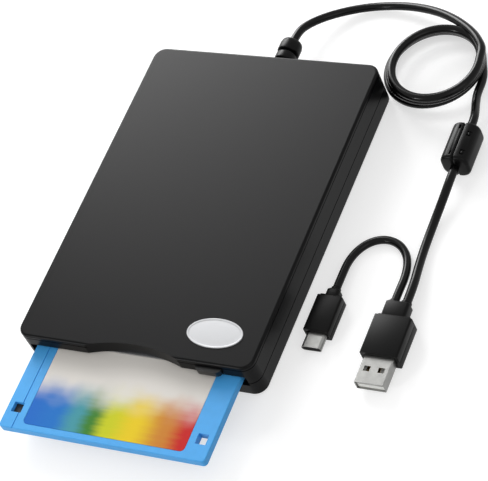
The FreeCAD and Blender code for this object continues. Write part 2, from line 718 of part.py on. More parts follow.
def shell_cuts(low, high, face_low, face_high):
    """What both disk shells lose: head window, shutter recess, leading-edge recess."""
    depth = SHUTTER["thick"] + 2 * SHUTTER["gap"]
    side = (SHUTTER["left"] - 0.2, SHUTTER["right"] + SHUTTER["travel"] + 0.2)
    window = block((-4.7, 4.7), (in_disk(26), in_disk(3.2)), (low - 1, high + 1))
    face = block(side, (in_disk(SHUTTER["deep"] + 0.2), in_disk(-1)), (face_low, face_high))
    edge = block(side, (in_disk(depth), in_disk(-1)), (low - 1, high + 1))
    return [window, face, edge]


def make_disk_shells():
    """The two moulded shells of the disk."""
    seam = disk_mid
    depth = SHUTTER["thick"] + 2 * SHUTTER["gap"]
    x, y = (-disk_half, disk_half), (disk_tail, disk_lead)
    hole_x, hole_y = 40.3, disk_tail + 9.2
    holes = [(-hole_x - 2.2, -hole_x + 2.2), (hole_x - 2.2, hole_x + 2.2)]
    low_outer = plate(x, y, (S.disk_bottom, seam), corner=1.6, low_round=0.4)
    pocket = rod("Z", (0, hub_y, S.disk_bottom + 0.8), S.medium_radius + 0.4, 5)
    hub_hole = rod("Z", (0, hub_y, S.disk_bottom - 1), S.hub_radius + 1, 5)
    tab_slot = block(holes[0], (hole_y - 2.2, hole_y + 7.2), (S.disk_bottom - 1, seam + 1))
    density = block(holes[1], (hole_y - 2.2, hole_y + 2.2), (S.disk_bottom - 1, disk_top + 1))
    notch = block((disk_half - 3, disk_half + 1), (in_disk(3), in_disk(-1)), (S.disk_bottom - 1, disk_top + 1))
    subpart("disk_lower_shell", cut(low_outer, pocket, hub_hole, tab_slot, density, notch,
                                    *shell_cuts(S.disk_bottom, seam, S.disk_bottom - 1, S.disk_bottom + depth)))
    top_outer = plate(x, y, (seam, disk_top), corner=1.6, top_round=0.4)
    ceiling = rod("Z", (0, hub_y, seam - 1), S.medium_radius + 0.4, 1.85)
    sight = block(holes[0], (hole_y - 2.2, hole_y + 2.2), (seam - 1, disk_top + 1))
    label = plate((-35.3, 35.3), (disk_tail + 2.7, disk_tail + 57), (disk_top - 0.2, disk_top + 1), corner=2)
    line = block((-39.0, -38.6), (disk_tail - 1, disk_tail + 60), (disk_top - 0.25, disk_top + 1))
    subpart("disk_upper_shell", cut(top_outer, ceiling, sight, density, notch, label, line,
                                    *shell_cuts(seam, disk_top, disk_top - depth, disk_top + 1)))
    tab = block((-hole_x - 2.05, -hole_x + 2.05), (hole_y - 2.05, hole_y + 2.4), (S.disk_bottom + 0.3, seam - 0.05))
    grip = block((-hole_x - 1, -hole_x + 1), (hole_y - 0.5, hole_y + 0.5), (S.disk_bottom - 1, S.disk_bottom + 0.6))
    subpart("write_protect_tab", cut(tab, grip))


def make_disk_inside():
    """The label, the liners, the medium with its steel hub, and the sprung shutter."""
    subpart("disk_label", plate((-35.1, 35.1), (disk_tail + 2.9, disk_tail + 56.8),
                                (disk_top - 0.2, disk_top - 0.05), corner=1.8))
    inner_low, inner_high = S.disk_bottom + 0.8, disk_mid + 0.85
    clear = block((-4.7, 4.7), (in_disk(26), in_disk(2)), (S.disk_bottom, disk_top))
    liners = [cut(ring(S.medium_radius, S.hub_radius + 1.5, low, high, y=hub_y), clear)
              for low, high in ((inner_low, inner_low + 0.3), (inner_high - 0.3, inner_high))]
    subpart("disk_liners", group(*liners))
    subpart("magnetic_medium", ring(S.medium_radius, S.hub_radius - 1.5, disk_mid - 0.06, disk_mid + 0.06, y=hub_y))
    disc = rod("Z", (0, hub_y, S.disk_bottom + 0.25), S.hub_radius, disk_mid - 0.06 - S.disk_bottom - 0.25)
    square = block((-2, 2), (hub_y - 2, hub_y + 2), (S.disk_bottom - 1, disk_top))
    slot = block((7.5, 11.5), (hub_y - 1.4, hub_y + 1.4), (S.disk_bottom - 1, disk_top))
    subpart("disk_hub", cut(disc, square, slot))
    gap, thick = SHUTTER["gap"], SHUTTER["thick"]
    x = (SHUTTER["left"], SHUTTER["right"])
    deep = (in_disk(SHUTTER["deep"]), in_disk(gap))
    upper = block(x, deep, (disk_top - gap - thick, disk_top - gap))
    lower = block(x, deep, (S.disk_bottom + gap, S.disk_bottom + gap + thick))
    fold = block(x, (in_disk(gap + thick), in_disk(gap)), (S.disk_bottom + gap, disk_top - gap))
    port = -SHUTTER["travel"]
    window = block((port - 5.2, port + 5.2), (in_disk(26.4), in_disk(2.8)), (S.disk_bottom - 1, disk_top + 1))
    subpart("disk_shutter", cut(fuse(upper, lower, fold), window))


# The cords. Points are x, the distance behind the front plane, and z.
LEAD_A = [(2.8, 162.0, 8.6), (2.8, 167.5, 8.6), (5.2, 173.6, 7.4), (9.8, 179.2, 5.6), (16.5, 184.3, 3.8),
          (25.0, 188.4, 2.4), (34.8, 190.9, 2.2), (45.2, 191.2, 4.4), (55.0, 189.9, 7.6), (64.3, 187.4, 10.8),
          (72.6, 183.6, 13.2), (77.8, 178.5, 13.8)]
LEAD_B = [(87.6, 148.4, 2.2), (89.0, 143.2, 3.2), (90.8, 138.2, 4.6), (92.4, 133.2, 5.9), (92.4, 127.0, 5.9)]
LEAD_C = [(92.4, 109.0, 5.9), (92.4, 103.0, 5.9), (91.9, 95.6, 4.4), (91.1, 87.6, 2.6), (90.8, 79.4, 1.8),
          (91.1, 70.8, 1.9), (92.2, 62.2, 2.8), (93.6, 54.2, 4.0), (93.6, 46.8, 4.0)]
PIGTAIL = [(88.8, 46.8, 4.0), (88.8, 52.0, 4.0), (88.6, 57.2, 3.2), (87.5, 63.5, 2.4), (84.9, 69.4, 1.8),
           (80.2, 73.8, 1.7), (74.2, 75.2, 1.7), (68.5, 73.2, 1.7), (64.6, 68.5, 1.8), (63.0, 62.5, 2.3),
           (63.2, 56.1, 3.0), (63.2, 49.7, 3.0)]
COIL_CENTRE = (66.0, 161.0)
COIL_LEAN = (0.45, -0.64)
COIL_LAYERS = 4
COIL_START = 36.0
COIL_REST = 0.05
COIL_TURN = 1111.0


def from_front(points):
    return [V(x, y + front.value, z) for x, y, z in points]


def arc_between(start, end, tangent):
    """The arc from start to end that leaves along the tangent."""
    chord = end - start
    unit = V(chord).normalize()
    side = tangent - unit * tangent.dot(unit)
    if side.Length < 1e-7:
        return Part.makeLine(start, end)
    turn = tangent.getAngle(unit)
    middle = (start + end) * 0.5 + V(side).normalize() * (chord.Length / 2 * math.tan(turn / 2))
    return Part.Arc(start, middle, end).toShape()


def rounded_path(points, name):
    """Straight runs joined by tangent arcs; prints the tightest radius."""
    edges, at, radii = [], points[0], []
    for before, corner, after in zip(points, points[1:], points[2:]):
        into, out = V(corner - before).normalize(), V(after - corner).normalize()
        run = min((corner - before).Length, (after - corner).Length)
        trim = 0.45 * run
        radii.append(trim / math.tan(into.getAngle(out) / 2))
        first, last = corner - into * trim, corner + out * trim
        edges.append(Part.makeLine(at, first))
        edges.append(arc_between(first, last, into))
        at = last
    edges.append(Part.makeLine(at, points[-1]))
    print(name, "length %.1f, radii" % sum(e.Length for e in edges), " ".join("%.0f" % r for r in radii))
    return edges


def tube(edges, size, name):
    """A round cord along a path of lines and arcs."""
    path = Part.Wire(edges)
    start = edges[0].valueAt(edges[0].FirstParameter)
    heading = edges[0].tangentAt(edges[0].FirstParameter)
    section = Part.Wire([Part.Circle(start, heading, size / 2).toShape()])
    made = path.makePipeShell([section], True, False)
    expected = math.pi * size * size / 4 * path.Length
    print(name, "volume %.1f, section times length %.1f" % (made.Volume, expected))
    return made


def eased(share):
    """A smooth step from 0 to 1."""
    share = min(max(share, 0.0), 1.0)
    return share * share * (3 - 2 * share)


def coil_point(turned):
    """The cord's centre after turning so many degrees from the coil's start."""
    layer = COIL_LAYERS * turned / COIL_TURN
    drift = S.coil_pitch.value * COIL_TURN / 360 / COIL_LAYERS
    radius = S.coil_radius.value - drift * (1 - abs(layer % 2 - 1))
    fallen = sum(eased((turned - COIL_TURN * step / COIL_LAYERS) / 180 + 0.5) for step in range(1, COIL_LAYERS))
    rise = S.coil_layer.value * (COIL_LAYERS - 1 - fallen)
    x, y = (middle + lean * rise for middle, lean in zip(COIL_CENTRE, COIL_LEAN))
    angle = math.radians(COIL_START - turned)
    return V(x + radius * math.cos(angle), y + front.value + radius * math.sin(angle),
             S.cord_size.value / 2 + COIL_REST + rise)


def coil_heading(turned):
    low, high = max(turned - 1, 0), min(turned + 1, COIL_TURN)
    return (coil_point(high) - coil_point(low)).normalize()


def coil_ends():
    """The coil's two straight ends: outer points and headings."""
    size = S.cord_size.value
    begin, finish = coil_point(0), coil_point(COIL_TURN)
    into, out = coil_heading(0), coil_heading(COIL_TURN)
    return begin - into * size, into, finish + out * size, out


def coil_path():
    """Biarcs of an eighth turn through the spiral, with straight ends."""
    steps = int(round(COIL_TURN / 45))
    stops = [COIL_TURN * i / steps for i in range(steps + 1)]
    first, into, last, out = coil_ends()
    edges = [Part.makeLine(first, coil_point(0))]
    for a, b in zip(stops, stops[1:]):
        p, q, t, u = coil_point(a), coil_point(b), coil_heading(a), coil_heading(b)
        v, s = q - p, t + u
        k2, k1, k0 = 2 * (t.dot(u) - 1), -2 * v.dot(s), v.dot(v)
        reach = (-k1 - math.sqrt(k1 * k1 - 4 * k2 * k0)) / (2 * k2)
        near, far = p + t * reach, q - u * reach
        joint = (near + far) * 0.5
        edges.append(arc_between(p, joint, t))
        edges.append(arc_between(joint, q, (far - near).normalize()))
    edges.append(Part.makeLine(coil_point(COIL_TURN), last))
    gap = min((coil_point(a) - coil_point(b)).Length for a in range(0, int(COIL_TURN), 6)
              for b in range(a + 180, int(COIL_TURN), 6)) - S.cord_size.value
    print("coil length %.1f, least gap to itself %.2f" % (sum(e.Length for e in edges), gap))
    return edges


def make_cords():
    size = S.cord_size.value
    first, into, last, out = coil_ends()
    lead_a = from_front(LEAD_A) + [first - into * 5.5, first]
    lead_b = [last, last + out * 5.1] + from_front(LEAD_B)
    subpart("cord_lead_a", solid(tube(rounded_path(lead_a, "cord_lead_a"), size, "cord_lead_a")))
    subpart("cord_coil", solid(tube(coil_path(), size, "cord_coil")))
    subpart("cord_lead_b", solid(tube(rounded_path(lead_b, "cord_lead_b"), size, "cord_lead_b")))
    lead_c = rounded_path(from_front(LEAD_C), "cord_lead_c")
    subpart("cord_lead_c", solid(tube(lead_c, size, "cord_lead_c")))
    short = rounded_path(from_front(PIGTAIL), "pigtail")
    subpart("pigtail", solid(tube(short, S.pigtail_size.value, "pigtail")))


def make_ferrite():
    """The clip-on ferrite bead: a case of two halves round its core."""
    x0, high_y, z0 = LEAD_C[0][0], front + LEAD_B[-1][1], LEAD_C[0][2]
    low_y = high_y - S.bead_length
    wide = S.bead_width / 2
    halves = []
    for side in (-1, 1):
        x = (x0 - wide, x0 - 0.05) if side < 0 else (x0 + 0.05, x0 + wide)
        lobe = rounded(block(x, (low_y, high_y), (z0 - wide, z0 + wide)), 3.4,
                       lambda e: along("y")(e) and abs(e.BoundBox.XMin - x0) > 1)
        hollow = rod("Y", (x0, low_y + 1.5, z0), wide - 1.5, S.bead_length - 3)
        bore = rod("Y", (x0, low_y - 1, z0), S.cord_size / 2 + 0.03, S.bead_length + 2)
        latches = [block((x0 - 3, x0 + 3), (y, y + 2.6), (z0 + wide - 0.7, z0 + wide + 1))
                   for y in (low_y + 4, high_y - 6.6)]
        halves.append(cut(lobe, hollow, bore, *latches))
    subpart("ferrite_case_left", halves[0])
    subpart("ferrite_case_right", halves[1])
    subpart("ferrite_core", rod("Y", (x0, low_y + 1.5, z0), wide - 1.55, S.bead_length - 3))


def make_plug_a():
    """The wide plug: grip with its twin-cord relief, shell, tongue and contacts."""
    x0, z0 = 92.3, S.plug_a_thick / 2
    face = front + LEAD_C[-1][1]
    rear = face - 8.0
    nose = rear - S.plug_a_length
    grip = rounded(block((x0 - S.plug_a_width / 2, x0 + S.plug_a_width / 2), (nose, rear), (0, S.plug_a_thick)),
                   1.6, lambda e: True)
    relief_x = (LEAD_C[-1][0] + PIGTAIL[0][0]) / 2
    relief = rounded(block((relief_x - 4.9, relief_x + 4.9), (rear - 1.2, face), (z0 - 2.6, z0 + 2.6)),
                     1.4, along("y"))
    half_w, half_t = S.shell_a_width / 2, S.shell_a_thick / 2
    socket = block((x0 - half_w, x0 + half_w), (nose - 1, nose + 6), (z0 - half_t, z0 + half_t))
    subpart("plug_a_grip", cut(fuse(grip, relief), socket))
    tip, wall = nose - S.shell_a_out, 0.3
    outer = rounded(block((x0 - half_w, x0 + half_w), (tip, nose + 6), (z0 - half_t, z0 + half_t)), 0.5, along("y"))
    bore = block((x0 - half_w + wall, x0 + half_w - wall), (tip - 1, nose + 5), (z0 - half_t + wall, z0 + half_t - wall))
    windows = [block((x0 + x - 1.25, x0 + x + 1.25), (tip + 5.1, tip + 7.3), (-1, S.plug_a_thick + 1))
               for x in (-2.9, 2.9)]
    subpart("plug_a_shell", cut(outer, bore, *windows))
    low = z0 - half_t + wall
    subpart("plug_a_tongue", block((x0 - half_w + wall + 0.05, x0 + half_w - wall - 0.05), (tip + 0.8, nose + 5),
                                   (low, low + 1.9)))
    pads = [block((x0 + x - 0.5, x0 + x + 0.5), (tip + 1.8 + short, nose + 2), (low + 1.9, low + 2.05))
            for x, short in ((-3.5, 0), (-1.0, 1.2), (1.0, 1.2), (3.5, 0))]
    subpart("plug_a_contacts", group(*pads))


def make_plug_c():
    """The narrow plug: grip, rounded shell and its insert."""
    x0, z0 = PIGTAIL[-1][0], PIGTAIL[-1][2]
    face = front + PIGTAIL[-1][1]
    rear = face - 4.6
    nose = rear - S.plug_c_length
    grip = rounded(block((x0 - S.plug_c_width / 2, x0 + S.plug_c_width / 2), (nose, rear),
                         (z0 - S.plug_c_thick / 2, z0 + S.plug_c_thick / 2)), 1.9, lambda e: True)
    relief = taper("Y", (x0, rear - 1.5, z0), 2.7, 2.2, face - rear + 1.5)
    half_w, half_t = S.shell_c_width / 2, S.shell_c_thick / 2
    socket = block((x0 - half_w, x0 + half_w), (nose - 1, nose + 4), (z0 - half_t, z0 + half_t))
    socket = rounded(socket, half_t * 0.98, along("y"))
    subpart("plug_c_grip", cut(fuse(grip, relief), socket))
    tip, wall = nose - S.shell_c_out, 0.28
    outer = rounded(block((x0 - half_w, x0 + half_w), (tip, nose + 4), (z0 - half_t, z0 + half_t)),
                    half_t * 0.98, along("y"))
    bore = rounded(block((x0 - half_w + wall, x0 + half_w - wall), (tip - 1, nose + 3.5),
                         (z0 - half_t + wall, z0 + half_t - wall)), (half_t - wall) * 0.98, along("y"))
    subpart("plug_c_shell", cut(outer, bore))
    sleeve = rounded(block((x0 - half_w + wall + 0.05, x0 + half_w - wall - 0.05), (tip + 0.6, nose + 3.4),
                           (z0 - half_t + wall + 0.05, z0 + half_t - wall - 0.05)), 0.85, along("y"))
    mouth = block((x0 - 3.35, x0 + 3.35), (tip, nose + 2), (z0 - 0.42, z0 + 0.42))
    subpart("plug_c_insert", cut(sleeve, mouth))


def check_and_write():
    """Stop on a failed object or a bad shape, then write one file per sub-part."""
    doc.recompute()
    for thing in doc.Objects:
        if "Invalid" in thing.State or "Error" in thing.State:
            raise RuntimeError("%s failed" % thing.Name)
    for made in SUBPARTS:
        shape = made.Shape
        if shape.isNull() or not shape.isValid() or not shape.Solids:
            raise RuntimeError("%s has no valid shape" % made.Label)
    for made in SUBPARTS:
        made.Shape.exportStep("parts/%s.step" % made.Label)
        box = made.Shape.BoundBox
        print("%-20s solids %d volume %9.1f z %.2f to %.2f" % (
            made.Label, len(made.Shape.Solids), made.Shape.Volume, box.ZMin, box.ZMax))


make_top_cover()
make_badge()
make_bottom_case()
make_feet()
make_screws()
make_strain_relief()
make_drive_frame()
make_lever()
make_cradle()
make_slide_plate()
make_button()
make_eject_spring()
make_spindle()
make_head_drive()
make_heads()
make_boards()
make_disk_shells()
make_disk_inside()
make_cords()
make_ferrite()
make_plug_a()
make_plug_c()
check_and_write()
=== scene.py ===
"""Looks for a slim external disk drive, its half-ejected disk and its coiled cord."""
import logging
import math
from contextlib import contextmanager
from dataclasses import dataclass
from enum import Enum
from typing import Any, Callable, Iterator, Optional, Sequence

import bmesh
import bpy
from mathutils import Matrix, Vector


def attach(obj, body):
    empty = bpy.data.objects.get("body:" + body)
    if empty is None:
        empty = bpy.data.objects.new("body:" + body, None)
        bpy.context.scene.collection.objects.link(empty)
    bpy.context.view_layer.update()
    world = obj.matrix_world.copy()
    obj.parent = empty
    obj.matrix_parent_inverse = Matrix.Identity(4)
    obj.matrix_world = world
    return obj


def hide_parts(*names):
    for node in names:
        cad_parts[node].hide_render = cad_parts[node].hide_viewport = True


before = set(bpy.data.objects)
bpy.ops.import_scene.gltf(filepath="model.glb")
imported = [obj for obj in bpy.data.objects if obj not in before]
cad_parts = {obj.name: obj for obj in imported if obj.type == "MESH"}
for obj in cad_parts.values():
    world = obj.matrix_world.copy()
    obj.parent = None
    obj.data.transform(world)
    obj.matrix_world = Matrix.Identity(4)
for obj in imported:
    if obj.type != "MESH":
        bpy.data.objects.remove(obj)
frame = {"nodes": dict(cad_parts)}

LOG = logging.getLogger("drive")
MM = 0.001
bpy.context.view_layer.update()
FRONT_Y = -54.75  # the case's front plane, in millimetres
TOUCH = 0.01  # places closer than this are the same, in millimetres
NEAR = 0.1  # places closer than this belong together, in millimetres
FACING, ALONG, ACROSS = 0.99, 0.9, 0.1  # how much of a direction runs along an axis
MERGE = 1e-7  # vertices closer than this are one, in metres
METAL_FROM = 0.5  # a finish this metallic keeps the shader's own IOR

Pair = tuple[float, float]
Point = tuple[float, float, float]
Window = tuple[float, float, float, float]
Piece = bpy.types.Object
Tree = bpy.types.NodeTree
Socket = bpy.types.NodeSocket
Test = Callable[[Vector, Vector], bool]

# The numbers of a colour mix's sockets, because their names repeat.
MIX_SHARE, MIX_FROM, MIX_TO, MIX_RESULT = 0, 6, 7, 2
BLACK, WHITE = (0, 0, 0, 1), (1, 1, 1, 1)


def linear(code: str) -> tuple[float, float, float, float]:
    """Turn an sRGB hex value into the linear colour that Blender reads.

    Args:
        code: Six hex digits, with or without a leading hash.

    Returns:
        Red, green, blue and an alpha of 1.
    """
    digits = code.lstrip("#")
    levels = [int(digits[i:i + 2], 16) / 255 for i in (0, 2, 4)]
    made = [v / 12.92 if v <= 0.04045 else ((v + 0.055) / 1.055) ** 2.4 for v in levels]
    return (made[0], made[1], made[2], 1.0)


def add_node(tree: Tree, kind: str, inputs: Optional[dict] = None,
             **settings: Any) -> bpy.types.Node:
    """Add a node with its settings and inputs.

    Args:
        tree: The node tree that takes the node.
        kind: The node's type name after ShaderNode.
        inputs: By input name or number, a plain value or the output socket that feeds it.
        **settings: Fields of the node itself.

    Returns:
        The new node.
    """
    node = tree.nodes.new("ShaderNode" + kind)
    for key, value in settings.items():
        setattr(node, key, value)
    for key, value in (inputs or {}).items():
        if isinstance(value, Socket):
            tree.links.new(value, node.inputs[key])
        else:
            node.inputs[key].default_value = value
    return node


class Pattern(Enum):
    """How a surface was made, with the detail of the fine noise that this gives it."""

    MOULDED = ("moulded", 3.0)
    BRUSHED = ("brushed", 3.0)
    COATED = ("coated", 3.0)
    TRACKED = ("tracked", 3.0)
    FELTED = ("felted", 6.0)
    WOUND = ("wound", 0.0)

    @property
    def detail(self) -> float:
        """The noise's detail."""
        return self.value[1]


@dataclass(frozen=True)
class Finish:
    """One material: what it is, how it was made and what that gives the eye.

    The grain is the fine relief, the tone a slow change of colour, and the drift a slow
    change of roughness. Lengths are in millimetres.
    """

    name: str
    colour: str
    roughness: float
    metallic: float = 0.0
    ior: float = 1.5
    specular: float = 0.5
    pattern: Pattern = Pattern.MOULDED
    grain_mm: float = 0.5
    depth_mm: float = 0.01
    grain_rough: float = 0.6
    tone: float = 0.12
    tone_mm: float = 22.0
    tone_detail: float = 2.0
    second: str = ""
    track_share: float = 0.06
    coat: float = 0.0
    coat_rough: float = 0.2
    sheen: float = 0.0
    drift: float = 0.1
    drift_share: float = 0.4
    along: Point = (1.0, 1.0, 1.0)

    @property
    def grains_per_m(self) -> float:
        """The texture scale that gives the grain its size."""
        return 1 / (self.grain_mm * MM)

    def material(self) -> bpy.types.Material:
        """Build the node material once and give it back after that.

        Returns:
            The material.
        """
        known = bpy.data.materials.get(self.name)
        if known is not None:
            return known
        made = bpy.data.materials.new(self.name)
        made.use_nodes = True
        tree = made.node_tree
        tree.nodes.clear()
        coords = add_node(tree, "TexCoord").outputs["Object"]
        bump = add_node(tree, "Bump", {
            "Strength": 1.0, "Distance": self.depth_mm * MM,
            "Height": self.height_from(tree, coords)})
        rough = add_node(tree, "MapRange", {
            "Value": self.blotches(tree, coords, self.tone_mm * self.drift_share),
            "To Min": self.roughness * (1 - self.drift),
            "To Max": min(self.roughness * (1 + self.drift), 1.0)})
        shader = add_node(tree, "BsdfPrincipled", {
            "Base Color": self.colour_from(tree, coords), "Metallic": self.metallic,
            "Roughness": rough.outputs["Result"], "Normal": bump.outputs["Normal"],
            "Specular IOR Level": self.specular, "Coat Weight": self.coat,
            "Coat Roughness": self.coat_rough, "Sheen Weight": self.sheen})
        if self.metallic < METAL_FROM:
            shader.inputs["IOR"].default_value = self.ior
        add_node(tree, "OutputMaterial", {"Surface": shader.outputs["BSDF"]})
        return made

    def blotches(self, tree: Tree, coords: Socket, size_mm: float) -> Socket:
        """Slow noise whose blotches are about the given size."""
        noise = add_node(tree, "TexNoise", {
            "Scale": 1 / (size_mm * MM), "Detail": self.tone_detail, "Vector": coords})
        return noise.outputs["Fac"]

    def colour_from(self, tree: Tree, coords: Socket) -> Socket:
        """The base colour, which wanders a little over the surface.

        Args:
            tree: The material's nodes.
            coords: The place on the object.

        Returns:
            The colour's output socket.
        """
        base = linear(self.colour)[:3]
        low = (*(v * (1 - self.tone) for v in base), 1.0)
        high = (*(min(v * (1 + self.tone), 1.0) for v in base), 1.0)
        mix = add_node(tree, "Mix", {
            MIX_SHARE: self.blotches(tree, coords, self.tone_mm), MIX_FROM: low, MIX_TO: high},
            data_type="RGBA")
        if not self.second:
            return mix.outputs[MIX_RESULT]
        over = add_node(tree, "Mix", {
            MIX_SHARE: self.tracks(tree, coords), MIX_FROM: mix.outputs[MIX_RESULT],
            MIX_TO: linear(self.second)}, data_type="RGBA")
        return over.outputs[MIX_RESULT]

    def tracks(self, tree: Tree, coords: Socket) -> Socket:
        """Where the second colour shows: thin tracks round cells of one grain each."""
        cells = add_node(tree, "TexBrick", {
            "Scale": self.grains_per_m, "Mortar Size": self.track_share,
            "Color1": BLACK, "Color2": BLACK, "Mortar": WHITE, "Vector": coords})
        return cells.outputs["Color"]

    def height_from(self, tree: Tree, coords: Socket) -> Socket:
        """The fine relief of the surface, from the way that it was made.

        Args:
            tree: The material's nodes.
            coords: The place on the object.

        Returns:
            The height's output socket.
        """
        if self.pattern is Pattern.WOUND:
            turn = 6.28  # a wave's scale counts radians
            bands = add_node(tree, "TexWave", {
                "Scale": self.grains_per_m / turn, "Distortion": 0.4, "Vector": coords},
                wave_type="BANDS", bands_direction="DIAGONAL")
            return bands.outputs["Fac"]
        place = add_node(tree, "Mapping", {"Scale": self.along, "Vector": coords})
        noise = add_node(tree, "TexNoise", {
            "Scale": self.grains_per_m, "Detail": self.pattern.detail,
            "Roughness": self.grain_rough, "Vector": place.outputs["Vector"]})
        return noise.outputs["Fac"]


@dataclass(frozen=True)
class Metal(Finish):
    """A bare or plated metal, whose fine relief comes from a tool or a brush."""

    metallic: float = 1.0
    pattern: Pattern = Pattern.BRUSHED


@dataclass(frozen=True)
class ColourWash(Finish):
    """Printed paper with a soft wash of colours that fades to bare paper.

    The colours run across the label and are strongest at its trailing edge.
    """

    stops: tuple[tuple[float, str], ...] = ()
    half_width_mm: float = 35.1
    faded_at_mm: float = -64.0
    full_at_mm: float = -80.0
    wander_mm: float = 13.0
    streak_mm: float = 4.0
    streak_fade: float = 0.4
    streaks_per_m: Point = (30.0, 620.0, 1.0)

    def colour_from(self, tree: Tree, coords: Socket) -> Socket:
        """Bare paper under the wash, which faint brushed streaks push about.

        Args:
            tree: The material's nodes.
            coords: The place on the object.

        Returns:
            The colour's output socket.
        """
        place = add_node(tree, "SeparateXYZ", {"Vector": coords})
        streaked = add_node(tree, "Mapping", {"Scale": self.streaks_per_m, "Vector": coords})
        streaks = add_node(tree, "TexNoise", {
            "Scale": 1.0, "Detail": 2.0, "Roughness": 0.5, "Vector": streaked.outputs["Vector"]})
        push = add_node(tree, "Math", {0: streaks.outputs["Fac"], 1: self.streak_mm * MM},
                        operation="MULTIPLY").outputs[0]
        mix = add_node(tree, "Mix", {
            MIX_SHARE: self.share_along(tree, coords, place.outputs["Y"], push),
            MIX_FROM: linear(self.colour),
            MIX_TO: self.colours_across(tree, place.outputs["X"], push)}, data_type="RGBA")
        return mix.outputs[MIX_RESULT]

    def colours_across(self, tree: Tree, x: Socket, push: Socket) -> Socket:
        """The row of colours across the label.

        Args:
            tree: The material's nodes.
            x: The place across the label.
            push: How far the streaks push it.

        Returns:
            The colour's output socket.
        """
        across = add_node(tree, "Math", {0: x, 1: push}, operation="ADD")
        middle = self.streak_mm / 2
        spread = add_node(tree, "MapRange", {
            "Value": across.outputs[0], "From Min": (middle - self.half_width_mm) * MM,
            "From Max": (middle + self.half_width_mm) * MM})
        node = add_node(tree, "ValToRGB", {"Fac": spread.outputs["Result"]})
        ramp = node.color_ramp
        ready = len(ramp.elements)
        for index, (at, code) in enumerate(self.stops):
            stop = ramp.elements[index] if index < ready else ramp.elements.new(at)
            stop.position = at
            stop.color = linear(code)
        ramp.interpolation = "EASE"
        return node.outputs["Color"]

    def share_along(self, tree: Tree, coords: Socket, y: Socket, push: Socket) -> Socket:
        """How much of the wash covers the paper, from the trailing edge inwards.

        Args:
            tree: The material's nodes.
            coords: The place on the object.
            y: The place along the label.
            push: How far the streaks push it.

        Returns:
            The share's output socket.
        """
        wander = add_node(tree, "Math", {
            0: self.blotches(tree, coords, self.wander_mm), 1: self.wander_mm * MM},
            operation="MULTIPLY")
        fray = add_node(tree, "Math", {0: push, 1: self.streak_fade}, operation="MULTIPLY")
        lift = add_node(tree, "Math", {0: wander.outputs[0], 1: fray.outputs[0]}, operation="ADD")
        along = add_node(tree, "Math", {0: y, 1: lift.outputs[0]}, operation="SUBTRACT")
        shift = (self.wander_mm + self.streak_fade * self.streak_mm) / 2
        share = add_node(tree, "MapRange", {
            "Value": along.outputs[0], "From Min": (self.faded_at_mm - shift) * MM,
            "From Max": (self.full_at_mm - shift) * MM}, interpolation_type="SMOOTHSTEP")
        return share.outputs["Result"]


# Spark-eroded ABS: satin, with a grain that is just felt, drawn coarser than real to show.
CASE_ABS = Finish("satin_moulded_abs", "#0A0A0B", 0.33, specular=0.09, grain_mm=0.45,
                  depth_mm=0.003, tone=0.05, tone_mm=60.0, drift=0.03)
# ABS from a polished mould: a clearer highlight where the key is touched.
BUTTON_ABS = Finish("polished_moulded_abs", "#101011", 0.3, specular=0.4, grain_mm=0.6,
                    depth_mm=0.003)
# Soft PVC pulled through a die: a sheen along the cord and hardly any grain.
CORD_PVC = Finish("extruded_soft_pvc", "#060606", 0.22, ior=1.48, specular=0.16, grain_mm=1.1,
                  depth_mm=0.012, tone=0.1)
# The same PVC moulded over the plugs: a little duller, with a soft grain.
PLUG_PVC = Finish("overmoulded_soft_pvc", "#090909", 0.33, ior=1.48, specular=0.1, depth_mm=0.01,
                  tone=0.1)
# Moulded nitrile rubber: flat and dark, with next to no highlight.
RUBBER = Finish("moulded_nitrile_rubber", "#101010", 0.7, grain_mm=0.35, depth_mm=0.02)
# Anodised foil with a fine satin: almost white under soft light.
BADGE_FOIL = Finish("satin_anodised_foil", "#BBBCBE", 0.42, metallic=0.15, specular=0.2,
                    pattern=Pattern.BRUSHED, grain_mm=0.25, depth_mm=0.003, tone=0.03,
                    along=(0.25, 1.0, 1.0))
# Moulded polystyrene: a clear even blue. Its spark-eroded grain is drawn coarser than real.
DISK_STYRENE = Finish("moulded_blue_styrene", "#459FE0", 0.45, specular=0.3, grain_mm=0.7,
                      depth_mm=0.03, tone=0.06, tone_mm=3.0)
# Coated paper with a soft printed wash: a dull sheen, colours strongest at the trailing edge.
LABEL = ColourWash("printed_coated_paper", "#DAD6D0", 0.5, specular=0.2, grain_mm=0.6,
                   depth_mm=0.004, stops=(
    (0.0, "#0060B8"), (0.17, "#0068B8"), (0.3, "#3A8C98"), (0.4, "#2E7416"),
    (0.5, "#BCC000"), (0.66, "#DCBE00"), (0.84, "#C07820"), (0.97, "#BA0402")))
# Nickel over drawn steel: a warm grey mirror, smeared along the draw.
NICKEL = Metal("nickel_plated_steel", "#8F8F8D", 0.3, depth_mm=0.006, tone=0.2, tone_mm=2.6,
               along=(1.0, 0.2, 1.0))
# Zinc over rolled sheet: cool grey, streaked along the rolling.
ZINC = Metal("zinc_plated_sheet", "#A9ABAE", 0.36, grain_mm=0.8, depth_mm=0.006, tone=0.08,
             along=(1.0, 0.15, 1.0))
# Turned steel: bright and sharp, with a trace of the tool.
STEEL = Metal("turned_steel", "#B4B4B4", 0.28, grain_mm=0.3, depth_mm=0.004, tone=0.06)
# Drawn spring wire: darker than turned steel, a little greasy.
SPRING = Metal("drawn_spring_wire", "#8E8E90", 0.3, grain_mm=0.3, depth_mm=0.004)
# Stainless strip brushed across the disk: long soft highlights.
SHUTTER = Metal("brushed_stainless_strip", "#C2C2C0", 0.32, grain_mm=0.35, depth_mm=0.005,
                tone=0.05, along=(0.08, 1.0, 1.0))
# Turned brass: warm, yellow and bright.
BRASS = Metal("turned_brass", "#C9A45A", 0.3, grain_mm=0.3, depth_mm=0.004)
